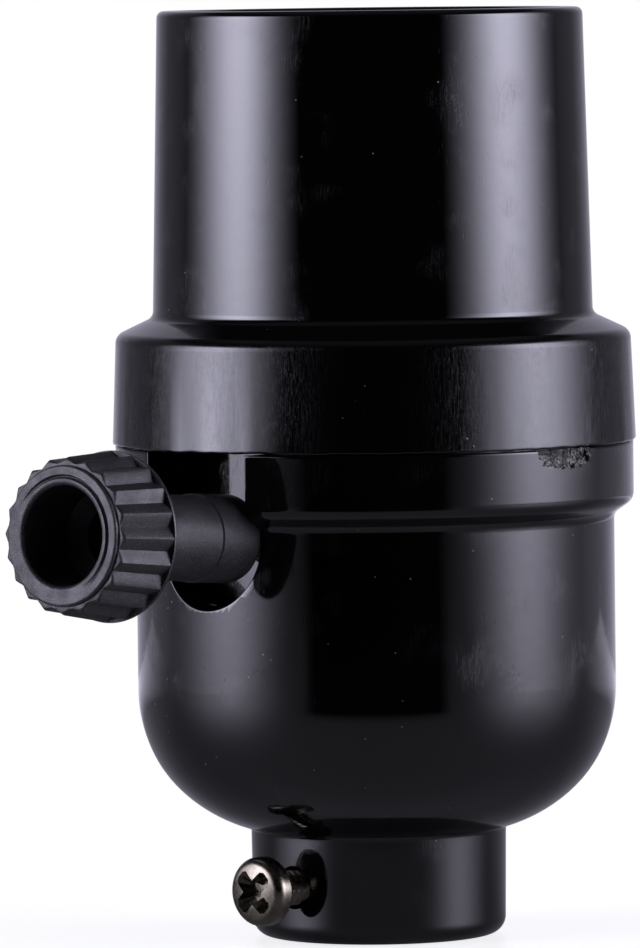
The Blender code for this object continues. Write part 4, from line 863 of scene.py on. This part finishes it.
def chip_tool(sizes):
    """Lumpy tool for the chip, which follows the band round and is deepest at its left end."""
    boxiness = 2.8
    deeper, deeper_from = 1.2, 0.2
    data = bmesh.new()
    bmesh.ops.create_icosphere(data, subdivisions=6, radius=1.0)
    seam = SHELL_LOW.z - sizes.seam_gap
    for vert in data.verts:
        out, along, up = vert.co
        square = (abs(out) ** boxiness + abs(along) ** boxiness + abs(up) ** boxiness) ** (-1 / boxiness)
        seed = Vector((along * 4.0, up * 1.5, out)) * square
        coarse = noise.noise(seed * 1.3 + Vector((4.0, 1.5, 2.0)))
        fine = noise.noise(seed * 5.0)
        lump = 1.0 + 0.16 * coarse + 0.13 * fine
        reach = square * lump
        deep = 1.0 + deeper * max(0.0, -along * square - deeper_from) / (1.0 - deeper_from)
        radius = sizes.band_radius - out * reach * sizes.chip_depth * deep
        angle = along * reach * sizes.chip_width / 2 / sizes.band_radius
        vert.co = polar(radius, angle, seam + up * reach * sizes.chip_height)
    face_out(data, sizes.chip_azimuth)
    bmesh.ops.recalc_face_normals(data, faces=data.faces)
    return as_mesh("chip_tool", data, "broken_phenolic")


def screw_hole_tool(screw, far, material):
    """Closed rod for the set screw's hole, out to a distance from the axis."""
    clearance = 0.0003
    data = rod(screw.shank_radius + clearance, 0.002, far, 40)
    bmesh.ops.transform(data, matrix=outwards(screw.azimuth, screw.height), verts=data.verts)
    return as_mesh("screw_hole_tool", data, material)


def lower_cap_mesh(sizes, screw):
    """Moulded cap with its neck, keyhole slot, chip and the set screw's hole."""
    row_spacing, lowest_row = 0.0007, 0.0002
    plain = cap_outline(sizes)
    outline = with_rows(plain, row_spacing, lowest_row, SHELL_LOW.z)
    mesh = as_mesh("lower_cap_blank", lathe(outline, MOULDING_SEGMENTS), "polished_phenolic")
    hole = screw_hole_tool(screw, sizes.neck_radius + 0.001, "polished_phenolic")
    return carved(mesh, [keyhole_tool(sizes, plain), chip_tool(sizes), hole])


def flute_depth_share(share):
    """Depth below the tips across one flute: straight sides, with softened tip and valley."""
    soft = 0.07
    side = abs(2.0 * share - 1.0)
    if side > 1.0 - soft:
        side = 1.0 - soft + (side - 1.0 + soft) * 0.45
    if side < soft:
        side = soft + (side - soft) * 0.6
    return 1.0 - side


def knob_rows(sizes):
    """Half section of the knob from the hollow's end over the face and back to the stem, as rows of
    (height, radius, share of the flutes' depth)."""
    face = sizes.stem_length + sizes.head_length
    back = face - sizes.head_length
    slope = (sizes.head_back_radius - sizes.head_front_radius) / sizes.head_length
    fluted_end = back + sizes.rim_length
    rim_front = sizes.head_back_radius - slope * sizes.rim_length
    outer_stem = sizes.stem_radius - sizes.stem_step
    bore_edge, face_edge, back_edge, stem_edge = 0.00035, 0.0002, 0.00015, 0.0003
    spindle, spindle_depth = 0.0019, 0.0058
    # Rows this close to an edge keep its rounding crisp.
    near, far = 0.0002, 0.0003
    bevel = sizes.flute_bevel
    floor = face - sizes.face_step
    rows = [
        (face - sizes.bore_depth, 0.0, 0), (face - sizes.bore_depth, sizes.bore_end_radius, 0),
        (back, sizes.bore_end_radius, 0), (back + 0.001, sizes.bore_radius - 0.00023, 0),
        (face - bore_edge - far, sizes.bore_radius, 0),
    ]
    rows += [(face - bore_edge * fall, sizes.bore_radius + bore_edge * out, 0) for fall, out in quarter(6)]
    start = sizes.bore_radius + bore_edge
    end = sizes.face_radius - face_edge
    rows += [(face, start + (end - start) * step / 14, 0) for step in range(1, 15)]
    rows += [(face - face_edge * out, sizes.face_radius - face_edge * fall, 0)
             for fall, out in quarter(4)][1:]
    rows.append((floor, sizes.face_radius, 0))
    for fall, out in quarter(5):
        lower = bevel * fall
        rows.append((floor - bevel * out, sizes.head_front_radius + slope * bevel * out - lower,
                     1.0 - lower / sizes.flute_depth))
    rows += [
        (floor - bevel - far, sizes.head_front_radius + slope * (bevel + far), 1),
        (fluted_end + near, rim_front - slope * near, 1), (fluted_end, rim_front, 1),
        (fluted_end - 0.00002, rim_front, 0), (fluted_end - near, rim_front + slope * near, 0),
    ]
    rows += [(sizes.stem_length + back_edge * fall, sizes.head_back_radius - back_edge * out, 0)
             for fall, out in quarter(3)]
    rows += [
        (sizes.stem_length, outer_stem + 0.0003, 0), (sizes.stem_length, outer_stem + 0.0001, 0),
        (sizes.stem_length - 0.0001, outer_stem, 0), (sizes.stem_length - 0.0004, outer_stem, 0),
        (sizes.stem_step_at + far, outer_stem, 0), (sizes.stem_step_at + 0.00012, outer_stem, 0),
        (sizes.stem_step_at, sizes.stem_radius, 0), (sizes.stem_step_at - near, sizes.stem_radius, 0),
        (2 * stem_edge, sizes.stem_radius, 0),
    ]
    rows += [(stem_edge * fall, sizes.stem_radius - stem_edge * out, 0) for fall, out in quarter(3)]
    return rows + [(0.0, spindle, 0), (spindle_depth, spindle, 0), (spindle_depth, 0.0, 0)]


def knob_sector(sizes, steps=16):
    """One flute's share of the knob, with so many steps across."""
    data = bmesh.new()
    rings = []
    for height, radius, fluted in knob_rows(sizes):
        if radius < TINY:
            rings.append([data.verts.new((0, 0, height))])
            continue
        ring = []
        for step in range(steps + 1):
            angle = math.tau / sizes.flutes * step / steps
            reach = radius - sizes.flute_depth * flute_depth_share(step / steps) * fluted
            ring.append(data.verts.new(polar(reach, angle, height)))
        rings.append(ring)
    for low, high in zip(rings, rings[1:]):
        bridge(data, low, high, closed=False)
    return as_mesh("knob_sector", data)


def knob_mesh(sizes):
    """Fluted head and stem, with the crescent groove pressed into the face."""
    mesh = through_nodes(knob_sector(sizes), ring_of_sectors_tree(), {
        "Count": sizes.flutes, "Weld": 0.000002, "Material": finish("satin_knob_plastic")})
    face = sizes.stem_length + sizes.head_length
    middle = sizes.bore_radius + 0.00068
    half_width = 0.00017
    crescent_middle = math.radians(135)
    for vert in mesh.vertices:
        if vert.co.z < face - TINY:
            continue
        radius = math.hypot(vert.co.x, vert.co.y)
        angle = math.atan2(vert.co.y, vert.co.x)
        share = max(0.0, min(1.0, 0.35 + 1.3 * math.cos(angle - crescent_middle)))
        across_groove = max(0.0, 1.0 - abs(radius - middle) / half_width)
        vert.co.z -= sizes.groove_depth * share * across_groove
    turn = Matrix.Rotation(heading(sizes.azimuth), 4, "Z") @ Matrix.Rotation(-sizes.tilt, 4, "Y")
    out = Matrix.Translation((sizes.stem_start, 0, 0)) @ Matrix.Rotation(math.pi / 2, 4, "Y")
    mesh.transform(Matrix.Translation((0, 0, sizes.shaft_height)) @ turn @ out)
    fixed = bmesh.new()
    fixed.from_mesh(mesh)
    bmesh.ops.recalc_face_normals(fixed, faces=fixed.faces)
    fixed.to_mesh(mesh)
    fixed.free()
    return mesh


def cross_tool(reach, width, floor, front):
    """Tapered crossed tool with rounded ends, for the recess of the set screw."""
    corner, side = 0.86, 0.55
    rings = []
    for height, long, short in ((floor, reach * 0.5, width * 0.28), (front, reach * 1.22, width * 0.66)):
        arm = ((long * corner, -short), (long, -short * side), (long, short * side),
               (long * corner, short), (short, short))
        rings.append([Matrix.Rotation(math.radians(turn), 3, "Z") @ Vector((x, y, height))
                      for turn in (45, 135, 225, 315) for x, y in arm])
    return as_mesh("recess_tool", capped(rings), "handled_nickel")


def set_screw_mesh(screw):
    """Pan head screw with a crossed recess and a real thread on its shank."""
    crown = screw.head_height
    dome_round, side_round, seat_round = 0.004, 0.0011, 0.00012
    thread_depth = 0.00036
    shank = screw.shank_radius - thread_depth / 2
    outline = rounded([
        (0, crown, 0), (screw.head_radius * 0.45, crown - 0.00002, dome_round),
        (screw.head_radius, crown * 0.80, side_round), (screw.head_radius, 0, seat_round),
        (shank, 0, 0), (shank, -screw.shank_length, 0), (0, -screw.shank_length, 0),
    ])
    dense = with_rows(outline, screw.shank_pitch / 9, -screw.shank_length, 0.0)
    mesh = through_nodes(as_mesh("set_screw_blank", lathe(dense, 64)), thread_tree(), {
        "Pitch": screw.shank_pitch, "Depth": thread_depth, "Low": -screw.shank_length, "High": -0.00015,
        "Runout": 0.0004, "Reach": screw.shank_radius, "Sharpness": 0.8,
        "Material": finish("handled_nickel")})
    recess = cross_tool(reach=0.00195, width=0.00118, floor=crown - 0.0013, front=crown + 0.0004)
    mesh = carved(mesh, [recess])
    mesh.transform(outwards(screw.azimuth, screw.height) @ Matrix.Translation((0, 0, screw.seat)))
    return mesh


def screw_shell_mesh(screw):
    """Rolled thread shell for the bulb, with a flat foot."""
    base = THREAD_LOW.z
    top = THREAD_HIGH.z
    sheet = screw.sheet
    inner, foot_bore, rivet_hole = 0.01295, 0.0087, 0.0012
    turns = 5
    low = base + sheet + 0.0013
    high = low + screw.bulb_pitch * turns
    outline = [Vector(point) for point in (
        (inner + sheet, top), (inner + sheet, high), (inner + sheet, low), (inner + sheet, base + sheet),
        (inner, base), (foot_bore, base), (foot_bore, base + sheet), (inner - sheet, base + sheet),
        (inner, base + 2 * sheet), (inner, low), (inner, high), (inner, top))]
    dense = with_rows(outline, screw.bulb_pitch / 16, low, high)
    mesh = through_nodes(as_mesh("screw_shell_blank", lathe(dense, 96)), thread_tree(), {
        "Pitch": screw.bulb_pitch, "Depth": screw.bulb_thread_depth, "Low": low, "High": high,
        "Runout": 0.0018, "Reach": 1.0, "Sharpness": 0.0, "Material": finish("rolled_aluminium")})
    tools = []
    for name in ("shell_rivet_hot_side", "shell_rivet_neutral_side"):
        hole = rod(rivet_hole, base - 0.001, base + 0.002, 24)
        set_over(hole, name)
        tools.append(as_mesh("rivet_hole_tool", hole, "rolled_aluminium"))
    return carved(mesh, tools)


def bushing_mesh(screw):
    """Cast bushing in the neck, tapped for the lamp's pipe."""
    top = BUSHING_HIGH.z
    base = BUSHING_LOW.z
    flange_radius, body_radius, lead_in = 0.0083, 0.00678, 0.0003
    flange = top - 0.0011
    outline = rounded([
        (flange_radius, top, INNER_EDGE), (flange_radius, flange, 0),
        (body_radius, flange, 0), (body_radius, base, INNER_EDGE),
        (screw.pipe_radius, base, INNER_EDGE), (screw.pipe_radius, top, INNER_EDGE),
    ])
    dense = with_rows(outline, screw.pipe_pitch / 10, base, top)
    mesh = through_nodes(as_mesh("bushing_blank", lathe(dense, 72)), thread_tree(), {
        "Pitch": screw.pipe_pitch, "Depth": screw.pipe_depth, "Low": base + lead_in, "High": top - lead_in,
        "Runout": 0.0006, "Reach": 0.0055, "Sharpness": 0.7, "Material": finish("tumbled_zinc_casting")})
    return carved(mesh, [screw_hole_tool(screw, 0.0095, "tumbled_zinc_casting")])


def rivet_mesh(name, material):
    """Rivet with a domed head at each end, as tall as its node."""
    low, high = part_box(name)
    head, shank, thick, dome, rim = 0.00135, 0.0009, 0.0007, 0.00055, 0.00005
    data = lathe(rounded([
        (0, high.z, 0), (head, high.z, dome), (head, high.z - thick, rim), (shank, high.z - thick, 0),
        (shank, low.z + thick, 0), (head, low.z + thick, rim), (head, low.z, dome), (0, low.z, 0),
    ]), 40)
    set_over(data, name)
    return as_mesh(name + "_turned", data, material)


def coat_node(node, material):
    """Give a CAD node that keeps its shape its finish."""
    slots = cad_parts[node].data.materials
    slots.clear()
    slots.append(finish(material))


class SOCKET_OT_upper_shell(bpy.types.Operator):
    """Add the moulded ring and barrel"""
    bl_idname = "socket.upper_shell"
    bl_label = "Upper Shell"

    def execute(self, context):
        mesh = upper_shell_mesh(context.scene.socket_shell)
        place_piece("upper_shell_moulding", mesh, "socket", "black_phenolic", "upper_shell")
        return {"FINISHED"}


class SOCKET_OT_lower_cap(bpy.types.Operator):
    """Add the moulded cap with its keyhole slot, chip and neck"""
    bl_idname = "socket.lower_cap"
    bl_label = "Lower Cap"

    def execute(self, context):
        mesh = lower_cap_mesh(context.scene.socket_shell, context.scene.socket_screws)
        place_piece("lower_cap_moulding", mesh, "socket", "black_phenolic", "lower_cap")
        return {"FINISHED"}


class SOCKET_OT_knob(bpy.types.Operator):
    """Add the fluted turn knob"""
    bl_idname = "socket.knob"
    bl_label = "Turn Knob"

    def execute(self, context):
        mesh = knob_mesh(context.scene.socket_knob)
        place_piece("fluted_knob", mesh, "knob", "knob_plastic", "turn_knob", sharp=28)
        return {"FINISHED"}


class SOCKET_OT_set_screw(bpy.types.Operator):
    """Add the set screw in the neck"""
    bl_idname = "socket.set_screw"
    bl_label = "Set Screw"

    def execute(self, context):
        mesh = set_screw_mesh(context.scene.socket_screws)
        place_piece("pan_head_screw", mesh, "neck_screw", "dark_nickel", "set_screw")
        return {"FINISHED"}


class SOCKET_OT_bulb_holder(bpy.types.Operator):
    """Add the rolled screw shell and its rivets"""
    bl_idname = "socket.bulb_holder"
    bl_label = "Bulb Holder"

    def execute(self, context):
        mesh = screw_shell_mesh(context.scene.socket_screws)
        place_piece("rolled_screw_shell", mesh, "socket", "rolled_aluminium", "screw_shell")
        for node, slot, material in (
                ("shell_rivet_hot_side", "nickel_plated_brass", "satin_nickel_plate"),
                ("shell_rivet_neutral_side", "nickel_plated_brass", "satin_nickel_plate"),
                ("centre_rivet", "brass", "stamped_brass")):
            place_piece(node + "_turned", rivet_mesh(node, material), "socket", slot, node)
        return {"FINISHED"}


class SOCKET_OT_neck_bushing(bpy.types.Operator):
    """Add the tapped bushing in the neck"""
    bl_idname = "socket.neck_bushing"
    bl_label = "Neck Bushing"

    def execute(self, context):
        mesh = bushing_mesh(context.scene.socket_screws)
        place_piece("tapped_bushing", mesh, "socket", "zinc_casting", "neck_bushing")
        return {"FINISHED"}


class SOCKET_OT_switch_finishes(bpy.types.Operator):
    """Give the switch's own parts their finishes"""
    bl_idname = "socket.switch_finishes"
    bl_label = "Switch Finishes"

    def execute(self, context):
        finishes = {
            "polished_phenolic": ("switch_body",),
            "vulcanised_fibre": ("switch_cover", "shell_washer"),
            "brown_phenolic": ("switch_rotor",),
            "stamped_brass": ("switch_shaft", "hot_terminal", "hot_screw", "centre_contact"),
            "zinc_plate": ("shaft_clip", "cover_screw_front", "cover_screw_rear", "detent_spring"),
            "satin_nickel_plate": ("neutral_terminal", "neutral_screw"),
            "spring_bronze": ("contact_arm",),
        }
        for material, nodes in finishes.items():
            for node in nodes:
                coat_node(node, material)
        return {"FINISHED"}


def camera_sees(tree):
    """1 for what the camera sees, straight or through something clear, and 0 for other light paths."""
    straight = add(tree, LIGHT_PATH, output="Is Camera Ray")
    through = add(tree, LIGHT_PATH, output="Is Transmission Ray")
    return add(tree, MATH, straight, through, operation="MAXIMUM")


def softbox(tree, off_front, middle, spread, studio):
    """Light at one side whose brightness falls off round its middle, faster towards the front."""
    away = add(tree, MATH, off_front, middle, operation="SUBTRACT")
    rearwards = add(tree, MATH, away, 0.0, operation="GREATER_THAN")
    softness = add(tree, MIX, {0: rearwards, 2: spread, 3: studio.rear_spread}, data_type="FLOAT")
    share = add(tree, MATH, away, softness, operation="DIVIDE")
    squared = add(tree, MATH, share, share, operation="MULTIPLY")
    falling = add(tree, MATH, squared, -1.0, operation="MULTIPLY")
    bell = add(tree, MATH, falling, operation="EXPONENT")
    return add(tree, RAMP, {"Value": bell, "From Min": studio.light_foot, "To Max": studio.light_strength})


def studio_world(studio):
    """World light: a softbox at each side, a dark front, and a white backdrop behind."""
    world = bpy.data.worlds.new("studio_light")
    world.use_nodes = True
    tree = world.node_tree
    tree.nodes.clear()
    direction = add(tree, "ShaderNodeTexCoord", output="Generated")
    x, y, z = add(tree, "ShaderNodeSeparateXYZ", direction, output=EVERY)
    forward = add(tree, MATH, y, -1.0, operation="MULTIPLY")
    azimuth = add(tree, MATH, x, forward, operation="ARCTAN2")
    elevation = add(tree, MATH, z, operation="ARCSINE")
    to_left = add(tree, MATH, azimuth, -1.0, operation="MULTIPLY")
    turned = add(tree, MATH, azimuth, operation="ABSOLUTE")
    lamp_fade, rear_fade, table_fade = (math.radians(width) for width in (14, 9, 4))
    room_from, room_full = math.radians(95), math.radians(122)
    table_from, table_full = math.radians(-1.5), math.radians(-3.0)
    ceiling_from, ceiling_full = math.radians(35), math.radians(60)
    # Both softboxes grow slowly from their lower end and fade out at their upper end.
    left = softbox(tree, to_left, studio.left_azimuth, studio.left_spread, studio)
    right = softbox(tree, azimuth, studio.right_azimuth, studio.right_spread, studio)
    sides = add(tree, MATH, left, right, operation="ADD")
    rising = add(tree, RAMP, {
        "Value": elevation, "From Min": studio.light_low, "From Max": studio.light_full})
    eased = add(tree, MATH, rising, 1.3, operation="POWER")
    ending = add(tree, RAMP, {
        "Value": elevation, "From Min": studio.light_high,
        "From Max": studio.light_high - lamp_fade}, **SMOOTH)
    window = add(tree, MATH, eased, ending, operation="MULTIPLY")
    lamps = add(tree, MATH, sides, window, operation="MULTIPLY")
    # The room and the backdrop fade out at their upper end too.
    behind = add(tree, RAMP, {
        "Value": turned, "From Min": room_from, "From Max": room_full, "To Max": studio.room})
    backdrop = add(tree, RAMP, {
        "Value": turned, "From Min": math.pi - studio.backdrop_width,
        "From Max": math.pi - studio.backdrop_middle, "To Max": studio.backdrop_strength})
    both = add(tree, MATH, behind, backdrop, operation="ADD")
    rear_end = add(tree, RAMP, {
        "Value": elevation, "From Min": studio.backdrop_high,
        "From Max": studio.backdrop_high - rear_fade}, **SMOOTH)
    rear = add(tree, MATH, both, rear_end, operation="MULTIPLY")
    # The table past the floor shows just below the horizon, at both sides of the dark front.
    beside = add(tree, RAMP, {
        "Value": turned, "From Min": studio.front_half_angle - table_fade,
        "From Max": studio.front_half_angle + table_fade, "To Max": studio.table})
    lowered = add(tree, RAMP, {"Value": elevation, "From Min": table_from, "From Max": table_full})
    table = add(tree, MATH, beside, lowered, operation="MULTIPLY")
    upper = add(tree, MATH, lamps, rear, operation="ADD")
    overhead = add(tree, RAMP, {
        "Value": elevation, "From Min": ceiling_from, "From Max": ceiling_full, "To Max": studio.ceiling})
    above = add(tree, MATH, table, overhead, operation="ADD")
    light = add(tree, MATH, upper, above, operation="ADD")
    seen = camera_sees(tree)
    strength = add(tree, MIX, {0: seen, 2: light, 3: 1.0}, data_type="FLOAT")
    cool = bpy.context.scene.socket_colours.light
    shade = add(tree, MIX, {0: seen, 6: cool, 7: linear("#ffffff")}, **MIXED_COLOUR)
    background = add(tree, "ShaderNodeBackground", {"Color": shade, "Strength": strength})
    add(tree, "ShaderNodeOutputWorld", {"Surface": background})
    bpy.context.scene.world = world


def floor_material(colours, studio):
    """Matt white board: pale under the socket, white to the camera, and it keeps the socket's shadow."""
    material, tree = make_material("matt_white_board")
    place = object_place(tree)
    x, y = add(tree, "ShaderNodeSeparateXYZ", place, output=EVERY)[:2]
    seen = camera_sees(tree)
    mirrored_from, mirrored_full = 0.12, 0.24
    white_from, white_full = 0.014, 0.055
    gap_fade = math.radians(3)
    # The board itself, with a faint grain 0.8 mm across.
    grain = add(tree, NOISE, {"Vector": place, "Scale": across(0.8), "Detail": 2.0})
    paler = add(tree, RAMP, {"Value": grain, "To Min": 0.98, "To Max": 1.0})
    tint = add(tree, "ShaderNodeVectorMath", colours.floor[:3], {"Scale": paler}, operation="SCALE")
    board = add(tree, PRINCIPLED, {"Base Color": tint, "Roughness": 0.36, "IOR": 1.22})
    # Its whiteness, which mirror images show only of the board's rear part.
    rear = add(tree, RAMP, {"Value": y, "From Min": mirrored_from, "From Max": mirrored_full})
    glossy = add(tree, LIGHT_PATH, output="Is Glossy Ray")
    mirrored = add(tree, MATH, glossy, rear, operation="MULTIPLY")
    shown = add(tree, MATH, seen, mirrored, operation="MAXIMUM")
    lift = add(tree, MATH, shown, studio.floor_lift, operation="MULTIPLY")
    shade = add(tree, MIX, {0: seen, 6: colours.light, 7: linear("#ffffff")}, **MIXED_COLOUR)
    glow = add(tree, "ShaderNodeEmission", {"Color": shade, "Strength": lift})
    near = add(tree, "ShaderNodeAddShader", board, glow)
    # Pure white to the camera, away from the socket.
    white = add(tree, "ShaderNodeEmission", {"Color": shade, "Strength": 1.0})
    flat = add(tree, "ShaderNodeCombineXYZ", x, y)
    distance = add(tree, "ShaderNodeVectorMath", flat, operation="LENGTH", output="Value")
    outer = add(tree, RAMP, {"Value": distance, "From Min": white_from, "From Max": white_full}, **SMOOTH)
    faded = add(tree, MATH, outer, seen, operation="MULTIPLY")
    lit = add(tree, "ShaderNodeMixShader", faded, near, white)
    # The dark front: the board is missing there to all but the camera.
    ahead = add(tree, MATH, y, -1.0, operation="MULTIPLY")
    beyond = add(tree, RAMP, {
        "Value": ahead, "From Min": studio.front_gap - studio.front_fade,
        "From Max": studio.front_gap + studio.front_fade}, **SMOOTH)
    off_side = add(tree, MATH, x, ahead, operation="ARCTAN2")
    off_middle = add(tree, MATH, off_side, operation="ABSOLUTE")
    within = add(tree, RAMP, {
        "Value": off_middle, "From Min": studio.front_half_angle + gap_fade,
        "From Max": studio.front_half_angle - gap_fade}, **SMOOTH)
    gap = add(tree, MATH, beyond, within, operation="MULTIPLY")
    unseen = add(tree, MATH, 1.0, seen, operation="SUBTRACT")
    opened = add(tree, MATH, gap, unseen, operation="MULTIPLY")
    clear = add(tree, "ShaderNodeBsdfTransparent")
    return surfaced(material, add(tree, "ShaderNodeMixShader", opened, lit, clear))


class SOCKET_OT_stage(bpy.types.Operator):
    """Add the floor, the studio light and the camera"""
    bl_idname = "socket.stage"
    bl_label = "Stage"

    def execute(self, context):
        scene = context.scene
        studio = scene.socket_studio
        half = studio.floor_half_width
        corners = [(-half, -studio.floor_front, 0), (half, -studio.floor_front, 0),
                   (half, half, 0), (-half, half, 0)]
        mesh = bpy.data.meshes.new("floor")
        mesh.from_pydata(corners, [], [(0, 1, 2, 3)])
        mesh.materials.append(floor_material(scene.socket_colours, studio))
        floor = bpy.data.objects.new("floor", mesh)
        scene.collection.objects.link(floor)
        studio_world(studio)
        lens = bpy.data.cameras.new("camera")
        lens.lens = studio.focal_length
        lens.sensor_width = 36.0
        camera = bpy.data.objects.new("camera", lens)
        lean = Matrix.Rotation(studio.roll, 4, "Z")
        aim = Matrix.Rotation(studio.yaw, 4, "Z") @ Matrix.Rotation(math.pi / 2 - studio.pitch, 4, "X")
        stand = Matrix.Translation((0, -studio.camera_distance, studio.camera_height))
        camera.matrix_world = stand @ aim @ lean
        scene.collection.objects.link(camera)
        scene.camera = camera
        scene.view_settings.view_transform = "Standard"
        return {"FINISHED"}


class SOCKET_PT_panel(bpy.types.Panel):
    """Operators and sizes of the lamp socket"""
    bl_label = "Lamp Socket"
    bl_idname = "SOCKET_PT_panel"
    bl_space_type = "VIEW_3D"
    bl_region_type = "UI"
    bl_category = "Socket"

    def draw(self, context):
        layout = self.layout
        for operator in OPERATORS:
            layout.operator(operator.bl_idname)
        for owner in GROUPS:
            box = layout.box()
            group = getattr(context.scene, owner)
            for name in group.__annotations__:
                box.prop(group, name)


OPERATORS = (
    SOCKET_OT_stage, SOCKET_OT_upper_shell, SOCKET_OT_lower_cap, SOCKET_OT_knob, SOCKET_OT_set_screw,
    SOCKET_OT_bulb_holder, SOCKET_OT_neck_bushing, SOCKET_OT_switch_finishes,
)
GROUPS = {
    "socket_shell": SocketShellSizes,
    "socket_knob": SocketKnobSizes,
    "socket_screws": SocketScrewSizes,
    "socket_colours": SocketColours,
    "socket_studio": SocketStudio,
}
CLASSES = (*GROUPS.values(), *OPERATORS, SOCKET_PT_panel)


def register():
    """Add the operators, the panel and the scene's sizes."""
    for each in CLASSES:
        bpy.utils.register_class(each)
    for owner, group in GROUPS.items():
        setattr(bpy.types.Scene, owner, PointerProperty(type=group))


def unregister():
    """Take away what register adds."""
    for owner in GROUPS:
        delattr(bpy.types.Scene, owner)
    for each in reversed(CLASSES):
        bpy.utils.unregister_class(each)


def main():
    """Build the whole scene through the operators."""
    register()
    bpy.ops.socket.stage()
    bpy.ops.socket.upper_shell()
    bpy.ops.socket.lower_cap()
    bpy.ops.socket.knob()
    bpy.ops.socket.set_screw()
    bpy.ops.socket.bulb_holder()
    bpy.ops.socket.neck_bushing()
    bpy.ops.socket.switch_finishes()


if __name__ == "__main__":
    main()
